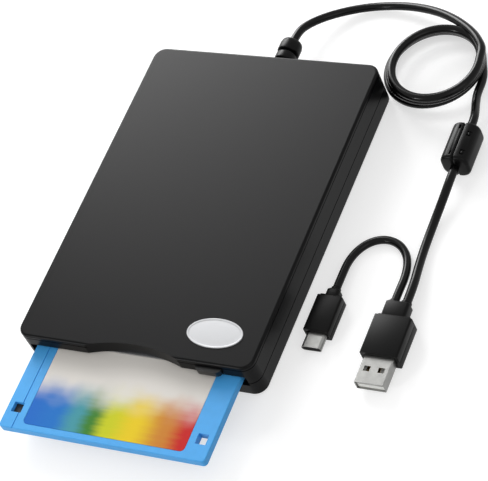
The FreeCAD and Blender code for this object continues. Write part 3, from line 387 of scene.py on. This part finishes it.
# Gold flashed over nickel: smooth, with a sharp yellow highlight.
GOLD = Metal("gold_flashed_contact", "#D8B25E", 0.24, grain_mm=0.4, depth_mm=0.002)
# Enamelled copper wire in close turns: red-brown ridges under a clear gloss.
COPPER = Finish("enamelled_copper_wire", "#A4552E", 0.3, metallic=0.85, pattern=Pattern.WOUND,
                grain_mm=0.3, depth_mm=0.05, coat=0.4)
# Solder mask over laminate: green gloss and paler tracks, drawn wider than real to show.
BOARD = Finish("solder_masked_laminate", "#12502B", 0.34, pattern=Pattern.TRACKED,
               second="#1D6A3B", grain_mm=2.2, coat=0.2)
# Moulded epoxy: charcoal and matt.
EPOXY = Finish("moulded_epoxy", "#17171A", 0.55, grain_mm=0.2, depth_mm=0.012)
# Natural nylon: ivory and a little waxy.
NYLON = Finish("moulded_ivory_nylon", "#DDD6C4", 0.45, depth_mm=0.008, tone=0.05)
# Moulded liquid crystal polymer: white, hard and even.
TONGUE = Finish("moulded_white_lcp", "#EDEDE9", 0.4, depth_mm=0.006, tone=0.03)
# Oxide coated on polyester: dark brown and glossy, with slow ripples.
FILM = Finish("coated_polyester_film", "#2B1D15", 0.2, pattern=Pattern.COATED, grain_mm=3.0,
              depth_mm=0.002)
# Non-woven rayon: white felt without a highlight. Its fibres are drawn coarser than real.
LINER = Finish("non_woven_rayon", "#E2E1DC", 0.85, pattern=Pattern.FELTED, grain_mm=0.35,
               depth_mm=0.05, sheen=0.3)
# Pressed and fired ferrite: a dull dark grey ceramic.
FERRITE = Finish("pressed_ferrite", "#1B1B1D", 0.6, grain_mm=0.25, depth_mm=0.015)


def dress(piece: Piece, finish: Finish) -> None:
    """Give a piece one finish all over."""
    piece.data.materials.clear()
    piece.data.materials.append(finish.material())


def clear_selection() -> None:
    """Leave edit mode and deselect everything."""
    if bpy.context.mode != "OBJECT":
        bpy.ops.object.mode_set(mode="OBJECT")
    bpy.ops.object.select_all(action="DESELECT")


def activate(piece: Piece) -> None:
    """Make one piece the only selected one.

    Args:
        piece: The piece.
    """
    clear_selection()
    piece.select_set(True)
    bpy.context.view_layer.objects.active = piece


def settle(name: str) -> Piece:
    """Name the new primitive and move its place into its mesh.

    Args:
        name: Its new name.

    Returns:
        The piece.
    """
    made = bpy.context.active_object
    made.name = name
    bpy.ops.object.transform_apply(location=True, rotation=True, scale=True)
    return made


@contextmanager
def editing(piece: Piece, mode: str = "FACE") -> Iterator[None]:
    """Edit one piece with nothing selected.

    Args:
        piece: The piece to edit.
        mode: EDGE or FACE.
    """
    activate(piece)
    bpy.ops.object.mode_set(mode="EDIT")
    bpy.ops.mesh.select_mode(type=mode)
    bpy.ops.mesh.select_all(action="DESELECT")
    yield
    bpy.ops.object.mode_set(mode="OBJECT")


def pick_faces(piece: Piece, wanted: Test) -> None:
    """Select faces by their centre and normal while a piece is edited.

    Args:
        piece: The piece in edit mode.
        wanted: Takes a face's centre in millimetres and its normal.
    """
    mesh = bmesh.from_edit_mesh(piece.data)
    for face in mesh.faces:
        face.select_set(wanted(face.calc_center_median() / MM, face.normal))
    bmesh.update_edit_mesh(piece.data)


def round_edges(piece: Piece, width_mm: float, wanted: Test, steps: int = 4) -> None:
    """Bevel edges that are picked by their middle and direction.

    Args:
        piece: The piece.
        width_mm: The bevel's width.
        wanted: Takes an edge's middle in millimetres and its unit direction.
        steps: The bevel's segments.
    """
    with editing(piece, "EDGE"):
        mesh = bmesh.from_edit_mesh(piece.data)
        for edge in mesh.edges:
            a, b = edge.verts[0].co, edge.verts[1].co
            edge.select_set(wanted((a + b) / 2 / MM, (b - a).normalized()))
        bmesh.update_edit_mesh(piece.data)
        bpy.ops.mesh.bevel(offset=width_mm * MM, segments=steps, affect="EDGES")


def lengthwise(_: Vector, way: Vector) -> bool:
    """Whether an edge runs along y."""
    return abs(way.y) > ALONG


def facing(x: float = 0.0, y: float = 0.0, z: float = 0.0) -> Test:
    """A test for faces that look along a direction."""
    aim = Vector((x, y, z)).normalized()
    return lambda _, normal: normal.dot(aim) > FACING


def slab(name: str, low: Point, high: Point) -> Piece:
    """Start a piece from a box, with its place in its mesh.

    Args:
        name: The piece's name.
        low: The corner with the least x, y and z, in millimetres.
        high: The corner with the most.

    Returns:
        The piece.
    """
    clear_selection()
    centre = [(a + b) / 2 * MM for a, b in zip(low, high)]
    size = [(b - a) * MM for a, b in zip(low, high)]
    bpy.ops.mesh.primitive_cube_add(size=1, location=centre, scale=size)
    return settle(name)


def inset(width_mm: float) -> None:
    """Inset the selected faces of an edited piece."""
    bpy.ops.mesh.inset(thickness=width_mm * MM)


def push_out(distance_mm: float, x: float = 0.0, y: float = 0.0, z: float = 0.0) -> None:
    """Extrude the selected faces along a direction."""
    move = Vector((x, y, z)) * distance_mm * MM
    bpy.ops.mesh.extrude_region_move(TRANSFORM_OT_translate={"value": move})


def sink(depth_mm: float) -> None:
    """Extrude the selected faces inwards, each along its own normal."""
    bpy.ops.mesh.extrude_region_shrink_fatten(TRANSFORM_OT_shrink_fatten={"value": -depth_mm * MM})


def narrow(wide: float, tall: float, middle: Point, axis: str = "y") -> None:
    """Scale what is selected about a middle, across an axis.

    Args:
        wide: The factor in x.
        tall: The factor in the other direction across the axis.
        middle: The point that stays, in millimetres.
        axis: The axis whose lengths stay, y or z.
    """
    scale = {"y": (wide, 1.0, tall), "z": (wide, tall, 1.0)}[axis]
    bpy.ops.transform.resize(value=scale, center_override=Vector(middle) * MM)


def cut_across(at: Point, normal: Point) -> None:
    """Cut the edited piece's faces by a plane and leave nothing selected.

    Args:
        at: A point on the plane, in millimetres.
        normal: The plane's normal.
    """
    bpy.ops.mesh.select_all(action="SELECT")
    bpy.ops.mesh.bisect(plane_co=Vector(at) * MM, plane_no=normal)
    bpy.ops.mesh.select_all(action="DESELECT")


def outward(piece: Piece) -> None:
    """Merge doubled vertices and turn all faces outwards.

    Args:
        piece: A closed piece.
    """
    activate(piece)
    bpy.ops.object.mode_set(mode="EDIT")
    bpy.ops.mesh.select_all(action="SELECT")
    bpy.ops.mesh.remove_doubles(threshold=MERGE)
    bpy.ops.mesh.normals_make_consistent(inside=False)
    bpy.ops.object.mode_set(mode="OBJECT")


def soften(piece: Piece, width_mm: float, steps: int = 2, angle: float = 40.0) -> Piece:
    """Round the sharp edges of a piece and shade it smooth.

    Args:
        piece: The piece.
        width_mm: The rounding's width.
        steps: The rounding's segments.
        angle: The least angle of a sharp edge, in degrees.

    Returns:
        The same piece.
    """
    activate(piece)
    bevel = piece.modifiers.new("rounded_edges", "BEVEL")
    bevel.width, bevel.segments = width_mm * MM, steps
    bevel.limit_method, bevel.angle_limit = "ANGLE", math.radians(angle)
    bevel.use_clamp_overlap = True
    bpy.ops.object.modifier_apply(modifier=bevel.name)
    bpy.ops.object.shade_smooth_by_angle(angle=math.radians(angle))
    return piece


def join(first: Piece, *others: Piece) -> Piece:
    """Make several closed forms one piece.

    Args:
        first: The form whose name stays.
        *others: The forms that go into it.

    Returns:
        The piece.
    """
    activate(first)
    for piece in others:
        piece.select_set(True)
    bpy.ops.object.join()
    return first


def hand_over(piece: Piece, body: str, slot: str, finish: Finish, *nodes: str) -> Piece:
    """Dress a piece, let it ride on its body and stand for its nodes.

    Args:
        piece: The finished piece.
        body: The body that carries it.
        slot: Its colour slot. Not used.
        finish: Its material.
        *nodes: The CAD nodes that it replaces.

    Returns:
        The same piece.
    """
    dress(piece, finish)
    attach(piece, body)
    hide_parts(*nodes)
    return piece


@dataclass
class Badge:
    """The oval badge on the top face, left bare.

    The crown's steps each hold a share of the last one's size and a lift.
    """

    centre: Pair = (31.4, -41.45)
    half_long: float = 11.7
    half_across: float = 6.45
    low: float = 17.95
    top: float = 18.75
    edge: float = 0.18
    rim: float = 0.55
    slope: float = 0.12
    dip: float = 0.12
    crown: tuple[Pair, ...] = ((0.82, 0.045), (0.7, 0.03), (0.5, 0.02), (0.3, 0.005))
    rounding: float = 0.1
    sides: int = 128

    def build(self) -> Piece:
        """Model the oval from a disc: a raised rim round a field that is crowned a little.

        Returns:
            The badge.
        """
        clear_selection()
        middle = Vector((*self.centre, (self.low + self.top) / 2)) * MM
        bpy.ops.mesh.primitive_cylinder_add(
            vertices=self.sides, radius=MM, depth=(self.top - self.low) * MM, location=middle,
            scale=(self.half_long, self.half_across, 1.0))
        oval = settle("bare_badge")
        with editing(oval):
            pick_faces(oval, facing(z=1.0))
            inset(self.edge)
            inset(self.rim)
            push_out(-self.dip, z=1.0)
            inset(self.slope)
            for share, lift in self.crown:
                push_out(lift, z=1.0)
                narrow(share, share, (*self.centre, self.top), "z")
        soften(oval, self.rounding)
        return hand_over(oval, "case", "badge_silver", BADGE_FOIL, "oval_badge")


@dataclass
class EjectKey:
    """The rounded key that pushes the disk out."""

    low: Point = (27.8, -56.75, 13.5)
    high: Point = (38.6, -46.25, 16.2)
    nose: float = 1.9
    waist_back: float = 3.4
    waist_half: float = 0.2
    waist_deep: float = 0.15
    edge: float = 0.7

    def build(self) -> Piece:
        """Model the key: a bar with a rounded nose and a waist where it enters the case.

        Returns:
            The key.
        """
        key = slab("eject_key", self.low, self.high)
        front = self.low[1]
        waist = front + self.waist_back
        round_edges(key, self.nose, lambda at, way: abs(way.z) > ALONG
                    and abs(at.y - front) < TOUCH, steps=7)
        with editing(key):
            for y in (waist - self.waist_half, waist + self.waist_half):
                cut_across((0, y, 0), (0, 1, 0))
            pick_faces(key, lambda at, normal: abs(at.y - waist) < self.waist_half
                       and abs(normal.y) < ACROSS)
            sink(self.waist_deep)
        soften(key, self.edge, steps=4)
        return hand_over(key, "ejector", "case_black", BUTTON_ABS, "eject_button")


@dataclass
class RingedRelief:
    """The moulded relief where the cord leaves the case.

    Each station holds a place along y and the radius there.
    """

    x: float = 2.8
    z: float = 8.6
    sides: int = 64
    rounding: float = 0.1
    sharp: float = 30.0
    stations: tuple[Pair, ...] = (
        (88.2, 4.2), (89.3, 4.2), (89.35, 3.0), (91.4, 3.0), (91.45, 3.6), (95.0, 3.8),
        (95.1, 3.2), (95.9, 3.2), (96.0, 4.2), (96.4, 4.45), (99.2, 4.4), (99.6, 4.2),
        (99.7, 3.2), (100.6, 3.2), (100.7, 4.4), (101.1, 4.7), (104.6, 4.7), (106.0, 4.4),
        (106.5, 4.0), (106.6, 2.6), (107.25, 2.3))

    def build(self) -> Piece:
        """Extrude a disc ring by ring along the cord's way out.

        Returns:
            The relief.
        """
        clear_selection()
        start, radius = self.stations[0]
        bpy.ops.mesh.primitive_circle_add(
            vertices=self.sides, radius=radius * MM, fill_type="NGON",
            location=(self.x * MM, start * MM, self.z * MM), rotation=(math.radians(90), 0, 0))
        boot = settle("ringed_relief")
        with editing(boot):
            bpy.ops.mesh.select_all(action="SELECT")
            for (at, size), (next_at, next_size) in zip(self.stations, self.stations[1:]):
                push_out(next_at - at, y=1.0)
                narrow(next_size / size, next_size / size, (self.x, next_at, self.z))
        outward(boot)
        soften(boot, self.rounding, angle=self.sharp)
        return hand_over(boot, "case", "cord_black", PLUG_PVC, "strain_relief")


@dataclass
class FerriteBead:
    """The two clip-on halves of the bead round the ferrite core.

    A window holds its least and most x from the bead's axis, and its least and most y. The
    right half's windows show latches, and the left half's are plain notches by the seam.
    """

    centre: Pair = (92.4, 5.9)
    low: float = 54.25
    high: float = 72.25
    half: float = 5.8
    gap: float = 0.05
    lobe_round: float = 4.2
    seam_round: float = 0.6
    end_round: float = 1.3
    latch_windows: tuple[Window, ...] = ((2.3, 4.6, 56.6, 58.9), (2.3, 4.6, 65.6, 67.9))
    notches: tuple[Window, ...] = ((-1.9, -1.0, 56.0, 57.8), (-1.9, -1.0, 68.6, 70.4))
    window_deep: float = 0.9
    window_over: float = 0.5
    latch_x: Pair = (0.25, 1.15)
    latch_ends: float = 0.5
    latch_deep: Pair = (0.25, 1.2)
    latch_edge: float = 0.2
    rounding: float = 0.06
    sharp: float = 42.0

    def block(self, name: str, side: int) -> Piece:
        """Model one half's block: a rounded lobe with pulled-in ends.

        Args:
            name: The piece's name.
            side: -1 for the left half, 1 for the right.

        Returns:
            The block.
        """
        x0, z0 = self.centre
        near, far = x0 + side * self.gap, x0 + side * self.half
        shell = slab(name, (min(near, far), self.low, z0 - self.half),
                     (max(near, far), self.high, z0 + self.half))
        for spot, width, steps in ((far, self.lobe_round, 9), (near, self.seam_round, 3)):
            round_edges(shell, width, lambda at, way: lengthwise(at, way)
                        and abs(at.x - spot) < NEAR, steps)
        round_edges(shell, self.end_round, lambda at, _: side * (at.x - near) > 2 * TOUCH
                    and min(abs(at.y - self.low), abs(at.y - self.high)) < TOUCH, steps=5)
        outward(shell)
        return shell

    def cut_window(self, shell: Piece, window: Window, sign: int) -> None:
        """Sink one window into a half.

        Args:
            shell: The half.
            window: The window.
            sign: 1 for the top, -1 for the underside.
        """
        x0, roof = self.centre[0], self.centre[1] + sign * self.half
        low, high = sorted((roof - sign * self.window_deep, roof + sign * self.window_over))
        cutter = slab("cutter", (x0 + window[0], window[2], low),
                      (x0 + window[1], window[3], high))
        activate(shell)
        cut = shell.modifiers.new("latch_window", "BOOLEAN")
        cut.operation, cut.object, cut.solver = "DIFFERENCE", cutter, "EXACT"
        bpy.ops.object.modifier_apply(modifier=cut.name)
        bpy.data.objects.remove(cutter, do_unlink=True)

    def latch(self, window: Window, sign: int) -> Piece:
        """Model the latch that stands in a window.

        Args:
            window: The window.
            sign: 1 for the top, -1 for the underside.

        Returns:
            The latch.
        """
        foot, roof = self.centre[0] + window[0], self.centre[1] + sign * self.half
        low, high = sorted(roof - sign * deep for deep in self.latch_deep)
        made = slab("latch", (foot + self.latch_x[0], window[2] + self.latch_ends, low),
                    (foot + self.latch_x[1], window[3] - self.latch_ends, high))
        return soften(made, self.latch_edge, steps=3)

    def half_shell(self, name: str, side: int, node: str) -> Piece:
        """Model one half with its windows and latches.

        Args:
            name: The piece's name.
            side: -1 for the left half, 1 for the right.
            node: The CAD node that the half replaces.

        Returns:
            The half.
        """
        shell = self.block(name, side)
        spots = [(window, sign) for window in (self.latch_windows if side > 0 else self.notches)
                 for sign in (1, -1)]
        for window, sign in spots:
            self.cut_window(shell, window, sign)
        latches = [self.latch(window, sign) for window, sign in spots] if side > 0 else []
        soften(shell, self.rounding, angle=self.sharp)
        return hand_over(join(shell, *latches), "case", "plug_black", PLUG_PVC, node)

    def build(self) -> list[Piece]:
        """Model both halves."""
        return [self.half_shell("bead_half_left", -1, "ferrite_case_left"),
                self.half_shell("bead_half_right", 1, "ferrite_case_right")]


@dataclass
class PlugGrip:
    """An overmoulded grip: a crisp block with shoulders, a parting line and a relief behind it.

    A collar holds the x, z and radius of the ring where a cord enters.
    """

    name: str
    node: str
    low: Point
    high: Point
    shell: Pair
    relief_low: Point
    relief_high: Point
    collars: tuple[Point, ...]
    edge: float = 0.75
    lip: float = 0.35
    shell_gap: float = 0.3
    recess: float = 0.5
    shoulder: float = 0.7
    shoulder_high: float = 0.9
    shoulder_share: float = 0.93
    seam_half: float = 0.09
    seam_deep: float = 0.12
    rounding: float = 0.22
    relief_edge: float = 1.2
    relief_step: Pair = (0.5, 0.55)
    relief_rounding: float = 0.25
    collar_long: float = 2.4
    collar_step: Pair = (0.3, 0.25)
    collar_back: float = 0.3
    collar_rounding: float = 0.15
    collar_sides: int = 40

    def block(self) -> Piece:
        """Model the block with its recess, shoulder and parting line.

        Returns:
            The block.
        """
        grip = slab(self.name, self.low, self.high)
        x, _, z = ((a + b) / 2 for a, b in zip(self.low, self.high))
        wide, tall = (self.high[i] - self.low[i] - 2 * self.lip for i in (0, 2))
        round_edges(grip, self.edge, lengthwise)
        with editing(grip):
            pick_faces(grip, facing(y=-1.0))
            inset(self.lip)
            inset(0.0)
            narrow((self.shell[0] + self.shell_gap) / wide, (self.shell[1] + self.shell_gap) / tall,
                   (x, self.low[1], z))
            push_out(-self.recess, y=-1.0)
            bpy.ops.mesh.select_all(action="DESELECT")
            pick_faces(grip, facing(y=1.0))
            inset(self.shoulder)
            push_out(self.shoulder_high, y=1.0)
            narrow(self.shoulder_share, self.shoulder_share, (x, self.high[1], z))
            for level in (z - self.seam_half, z + self.seam_half):
                cut_across((0, 0, level), (0, 0, 1))
            pick_faces(grip, lambda at, normal: abs(at.z - z) < self.seam_half
                       and abs(normal.z) < ACROSS
                       and self.low[1] + NEAR < at.y < self.high[1] - NEAR)
            sink(self.seam_deep)
        return soften(grip, self.rounding, steps=3)

    def relief(self) -> Piece:
        """Model the relief behind the block.

        Returns:
            The relief.
        """
        made = slab(self.name + "_relief", self.relief_low, self.relief_high)
        round_edges(made, self.relief_edge, lengthwise)
        with editing(made):
            pick_faces(made, facing(y=1.0))
            inset(self.relief_step[0])
            push_out(self.relief_step[1], y=1.0)
        return soften(made, self.relief_rounding, steps=3)

    def collar(self, x: float, z: float, radius: float) -> Piece:
        """Model the ring round one cord.

        Args:
            x: The cord's x.
            z: The cord's height.
            radius: The ring's radius.

        Returns:
            The ring.
        """
        clear_selection()
        bpy.ops.mesh.primitive_cylinder_add(
            vertices=self.collar_sides, radius=radius * MM, depth=self.collar_long * MM,
            rotation=(math.radians(90), 0, 0),
            location=(x * MM, (self.relief_high[1] + self.collar_back) * MM, z * MM))
        ring = settle("collar")
        with editing(ring):
            pick_faces(ring, facing(y=1.0))
            inset(self.collar_step[0])
            push_out(self.collar_step[1], y=1.0)
        return soften(ring, self.collar_rounding)

    def build(self) -> Piece:
        """Model the grip, its relief and the collars round the cords."""
        whole = join(self.block(), self.relief(), *(self.collar(*spot) for spot in self.collars))
        return hand_over(whole, "case", "plug_black", PLUG_PVC, self.node)


WIDE_GRIP = PlugGrip(
    "wide_plug_grip", "plug_a_grip", (84.7, -33.95, 0.0), (99.9, -16.85, 8.0), (12.0, 4.5),
    (86.3, -17.2, 1.2), (96.1, -9.6, 6.8), ((93.6, 4.0, 2.1), (88.8, 4.0, 2.0)))
NARROW_GRIP = PlugGrip(
    "narrow_plug_grip", "plug_c_grip", (57.9, -26.45, 0.0), (68.5, -10.5, 6.0), (8.34, 2.56),
    (60.5, -10.9, 0.6), (65.9, -6.9, 5.4), ((63.2, 3.0, 1.95),))


@dataclass
class Cords:
    """The long cord with its coil, and the short one between the plugs.

    Points are x, the distance behind the case's front plane, and z, in millimetres. The coil
    turns by so many degrees through its layers, which lean and shrink a little as they rise.
    """

    size: float = 3.5
    short_size: float = 3.2
    first_lead: tuple[Point, ...] = (
        (2.8, 162.0, 8.6), (2.8, 167.5, 8.6), (5.0, 173.6, 6.9), (9.8, 179.8, 4.8),
        (16.6, 185.0, 3.0), (25.0, 188.5, 2.2), (34.2, 189.9, 2.4), (43.4, 189.4, 3.6),
        (52.6, 187.4, 5.2), (61.2, 184.2, 7.0), (68.9, 180.2, 8.6), (75.4, 175.8, 10.0),
        (80.6, 171.6, 10.9), (84.3, 167.6, 11.5))
    second_lead: tuple[Point, ...] = (
        (87.6, 148.4, 2.2), (89.0, 143.2, 3.2), (90.8, 138.2, 4.6), (92.4, 133.2, 5.9),
        (92.4, 127.0, 5.9), (92.4, 109.0, 5.9), (92.4, 103.0, 5.9), (91.9, 95.6, 4.4),
        (91.1, 87.6, 2.6), (90.8, 79.4, 1.8), (91.1, 70.8, 1.9), (92.2, 62.2, 2.8),
        (93.6, 54.2, 4.0), (93.6, 46.8, 4.0))
    short_lead: tuple[Point, ...] = (
        (88.8, 46.8, 4.0), (88.8, 52.0, 4.0), (88.6, 57.2, 3.2), (87.5, 63.5, 2.4),
        (84.9, 69.4, 1.8), (80.2, 73.8, 1.7), (74.2, 75.2, 1.7), (68.5, 73.2, 1.7),
        (64.6, 68.5, 1.8), (63.0, 62.5, 2.3), (63.2, 56.1, 3.0), (63.2, 49.7, 3.0))
    centre: Pair = (65.3, 159.9)
    lean: Pair = (0.49, -0.55)
    layers: int = 4
    start: float = 15.0
    turned: float = 1081.0
    radius: float = 19.7
    shrink: float = 0.15
    layer: float = 3.3
    rest: float = 0.05
    step: float = 15.0
    drop: float = 180.0
    lead_in: float = 4.5
    lead_out: float = 8.6
    order: int = 3
    smoothness: int = 6

    def coil_point(self, angle: float) -> Vector:
        """Where the cord's middle is after so many degrees of the leaning coil.

        Args:
            angle: Degrees turned from the coil's start, at its top.

        Returns:
            The point, with y behind the front plane.
        """
        fallen = 0.0
        for layer in range(1, self.layers):
            share = (angle - self.turned * layer / self.layers) / self.drop + 0.5
            share = min(max(share, 0.0), 1.0)
            fallen += share * share * (3 - 2 * share)
        rise = self.layer * (self.layers - 1 - fallen)
        radius = self.radius - self.shrink * rise
        turn = math.radians(self.start - angle)
        return Vector((self.centre[0] + self.lean[0] * rise + radius * math.cos(turn),
                       self.centre[1] + self.lean[1] * rise + radius * math.sin(turn),
                       self.size / 2 + self.rest + rise))

    def long_route(self) -> list[Vector]:
        """The whole long cord: first lead, coil, and on through the bead to the plug.

        Returns:
            The control points.
        """
        stops = round(self.turned / self.step)
        coil = [self.coil_point(self.turned * i / stops) for i in range(stops + 1)]
        into, out = (coil[1] - coil[0]).normalized(), (coil[-1] - coil[-2]).normalized()
        return [*map(Vector, self.first_lead), coil[0] - into * self.lead_in, *coil,
                coil[-1] + out * self.lead_out, *map(Vector, self.second_lead)]

    def curve(self, name: str, points: Sequence[Sequence[float]], size: float) -> Piece:
        """Make one smooth round cord along control points.

        Args:
            name: The piece's name.
            points: The control points, in millimetres.
            size: The cord's diameter, in millimetres.

        Returns:
            The cord.
        """
        data = bpy.data.curves.new(name, "CURVE")
        data.dimensions = "3D"
        spline = data.splines.new("NURBS")
        spline.points.add(len(points) - 1)
        for spot, point in zip(spline.points, points):
            spot.co = (*self.in_metres(point), 1.0)
        spline.order_u = self.order
        spline.use_endpoint_u = True
        spline.resolution_u = self.smoothness
        data.bevel_depth = size / 2 * MM
        data.bevel_resolution = self.smoothness
        data.use_fill_caps = True
        made = bpy.data.objects.new(name, data)
        bpy.context.scene.collection.objects.link(made)
        dress(made, CORD_PVC)
        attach(made, "case")
        return made

    def in_metres(self, point: Sequence[float]) -> Point:
        """A route point in the row frame."""
        return (point[0] * MM, (point[1] + FRONT_Y) * MM, point[2] * MM)

    def build(self, on_long: Sequence[Piece], on_short: Sequence[Piece]) -> list[Piece]:
        """Args:
            on_long: The pieces on the long cord. Not used.
            on_short: The pieces on the short cord. Not used.

        Returns:
            Both cords.
        """
        long_cord = self.curve("long_cord", self.long_route(), self.size)
        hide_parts("cord_lead_a", "cord_coil", "cord_lead_b", "cord_lead_c")
        short_cord = self.curve("short_cord", self.short_lead, self.short_size)
        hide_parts("pigtail")
        return [long_cord, short_cord]


@dataclass(frozen=True)
class CarriedAssembly:
    """A sub-assembly whose CAD nodes keep their shapes and only get their materials."""

    name: str
    dressed: tuple[tuple[Finish, tuple[str, ...]], ...]

    def dress_nodes(self, nodes: dict[str, Piece]) -> None:
        """Dress every node and report it.

        Args:
            nodes: The frame's CAD nodes by name.
        """
        for finish, names in self.dressed:
            for name in names:
                dress(nodes[name], finish)
                LOG.info("node %s of the %s in %s", name, self.name, finish.name)


CARRIED = (
    CarriedAssembly("case", (
        (CASE_ABS, ("top_cover", "bottom_case")), (RUBBER, ("rubber_feet",)),
        (STEEL, ("case_screws",)))),
    CarriedAssembly("loading gear", (
        (ZINC, ("drive_frame", "slide_plate", "disk_cradle", "shutter_lever")),
        (STEEL, ("frame_screws", "lever_pivot")), (SPRING, ("eject_spring",)))),
    CarriedAssembly("spindle and head gear", (
        (BOARD, ("spindle_board",)), (COPPER, ("stator_coils",)), (FERRITE, ("rotor_magnet",)),
        (BRASS, ("spindle_bearing", "drive_pin")), (NYLON, ("lower_head", "upper_head")),
        (ZINC, ("stepper_motor", "motor_bracket", "rod_supports")), (EPOXY, ("head_carriage",)),
        (STEEL, ("guide_rod", "spindle_rotor", "spindle_shaft", "lead_screw", "head_arm")))),
    CarriedAssembly("electronics", (
        (BOARD, ("main_board", "interface_board")), (EPOXY, ("controller_chips", "bridge_chip")),
        (NICKEL, ("crystal",)), (NYLON, ("cord_header", "ribbon_cable")))),
    CarriedAssembly("disk", (
        (DISK_STYRENE, ("disk_upper_shell", "disk_lower_shell")), (LABEL, ("disk_label",)),
        (LINER, ("disk_liners",)), (SHUTTER, ("disk_shutter",)), (FILM, ("magnetic_medium",)),
        (STEEL, ("disk_hub",)), (EPOXY, ("write_protect_tab",)))),
    CarriedAssembly("cord ends", (
        (FERRITE, ("ferrite_core",)), (NICKEL, ("plug_a_shell", "plug_c_shell")),
        (TONGUE, ("plug_a_tongue",)), (GOLD, ("plug_a_contacts",)),
        (EPOXY, ("plug_c_insert",)))),
)


@dataclass
class Camera:
    """The camera, fitted to the corners of the case and the disk."""

    place: Point = (422.8, -405.45, 644.9)
    right: Point = (0.8765, 0.3569, -0.3229)
    ahead: Point = (-0.4688, 0.4807, -0.741)
    focal_px: float = 2215.886
    image_px: float = 488.0
    sensor_mm: float = 36.0
    clip_m: Pair = (0.02, 40.0)

    def build(self) -> None:
        """Place the camera and make it the scene's own."""
        data = bpy.data.cameras.new("camera")
        made = bpy.data.objects.new("camera", data)
        bpy.context.scene.collection.objects.link(made)
        data.sensor_width = self.sensor_mm
        data.lens = self.focal_px * data.sensor_width / self.image_px
        data.clip_start, data.clip_end = self.clip_m
        x, z = Vector(self.right).normalized(), -Vector(self.ahead).normalized()
        y = z.cross(x).normalized()
        x = y.cross(z)
        turn = Matrix((x, y, z)).transposed().to_4x4()
        made.matrix_world = Matrix.Translation(Vector(self.place) * MM) @ turn
        bpy.context.scene.camera = made


@dataclass(frozen=True)
class Softbox:
    """One square lamp that faces the object, with its place and side in metres."""

    name: str
    place: Point
    side: float
    watts: float
    aim: Point = (0.0, 0.0, 0.01)

    def build(self) -> None:
        """Hang the lamp."""
        data = bpy.data.lights.new(self.name, "AREA")
        data.shape, data.size, data.energy = "SQUARE", self.side, self.watts
        made = bpy.data.objects.new(self.name, data)
        bpy.context.scene.collection.objects.link(made)
        made.location = self.place
        made.rotation_mode = "QUATERNION"
        away = Vector(self.place) - Vector(self.aim)
        made.rotation_quaternion = away.to_track_quat("Z", "Y")


@dataclass
class Studio:
    """Plain pale floor, white surround and soft lamps."""

    floor_side: float = 12.0
    floor_mm: float = -0.02
    floor_colour: str = "#C4C4C4"
    floor_glow: float = 0.57
    soft_level: float = 0.57
    lamps: tuple[Softbox, ...] = (
        Softbox("key_softbox", (-0.98, 1.12, 1.15), 0.6, 7.5),
        Softbox("low_softbox", (-0.34, 0.43, 0.22), 0.3, 3.4),
        Softbox("fill_softbox", (1.1, -0.5, 0.9), 0.8, 2.5),
        Softbox("front_softbox", (-0.55, -1.0, 0.42), 0.2, 4.5))

    def build(self) -> None:
        """Make the floor, the world and the lamps."""
        self.floor()
        self.world()
        for lamp in self.lamps:
            lamp.build()

    def looked_at(self, tree: Tree) -> Socket:
        """1 for rays from the camera and for mirrored or refracted ones, 0 for soft light.

        Args:
            tree: The floor's or the world's nodes.

        Returns:
            The number's output socket.
        """
        path = add_node(tree, "LightPath").outputs
        seen = add_node(tree, "Math", {0: path["Is Camera Ray"], 1: path["Is Glossy Ray"]},
                        operation="MAXIMUM")
        also = add_node(tree, "Math", {0: seen.outputs[0], 1: path["Is Transmission Ray"]},
                        operation="MAXIMUM")
        return also.outputs[0]

    def floor(self) -> None:
        """Make a pale floor that shows nearly white and keeps the shadows."""
        clear_selection()
        bpy.ops.mesh.primitive_plane_add(size=self.floor_side, location=(0, 0, self.floor_mm * MM))
        plane = bpy.context.active_object
        plane.name = "floor"
        # Matt paint: no highlight, so that only the shadows show.
        paint = bpy.data.materials.new("matt_floor_paint")
        paint.use_nodes = True
        tree = paint.node_tree
        tree.nodes.clear()
        share = add_node(tree, "Math", {0: self.looked_at(tree), 1: self.floor_glow},
                         operation="MULTIPLY")
        coat = add_node(tree, "BsdfDiffuse", {"Color": linear(self.floor_colour)})
        glow = add_node(tree, "Emission", {"Color": WHITE, "Strength": share.outputs[0]})
        both = add_node(tree, "AddShader", {0: coat.outputs[0], 1: glow.outputs[0]})
        add_node(tree, "OutputMaterial", {"Surface": both.outputs[0]})
        plane.data.materials.append(paint)

    def world(self) -> None:
        """Make a world that is white where it is seen or mirrored, and soft elsewhere."""
        made = bpy.data.worlds.new("studio")
        bpy.context.scene.world = made
        made.use_nodes = True
        tree = made.node_tree
        tree.nodes.clear()
        level = add_node(tree, "MapRange", {
            "Value": self.looked_at(tree), "To Min": self.soft_level, "To Max": 1.0})
        back = add_node(tree, "Background", {"Color": WHITE, "Strength": level.outputs["Result"]})
        add_node(tree, "OutputWorld", {"Surface": back.outputs[0]})


def main() -> None:
    """Build every sub-assembly in order and report it."""
    logging.basicConfig(level=logging.INFO, format="%(message)s")
    bpy.context.scene.view_settings.view_transform = "Standard"
    Camera().build()
    Studio().build()
    nodes = frame["nodes"]
    relief = RingedRelief().build()
    halves = FerriteBead().build()
    wide, small = WIDE_GRIP.build(), NARROW_GRIP.build()
    new_pieces = [Badge().build(), EjectKey().build(), relief, *halves, wide, small]
    long_pieces = [relief, *halves, wide] + [nodes[name] for name in (
        "ferrite_core", "plug_a_shell", "plug_a_tongue", "plug_a_contacts")]
    short_pieces = [small] + [nodes[name] for name in ("plug_c_shell", "plug_c_insert")]
    cords = Cords().build(long_pieces, short_pieces)
    for assembly in CARRIED:
        assembly.dress_nodes(nodes)
    for piece in new_pieces:
        LOG.info("piece %s, %d faces", piece.name, len(piece.data.polygons))
    for cord in cords:
        LOG.info("piece %s, %d control points", cord.name, len(cord.data.splines[0].points))


if __name__ == "__main__":
    main()
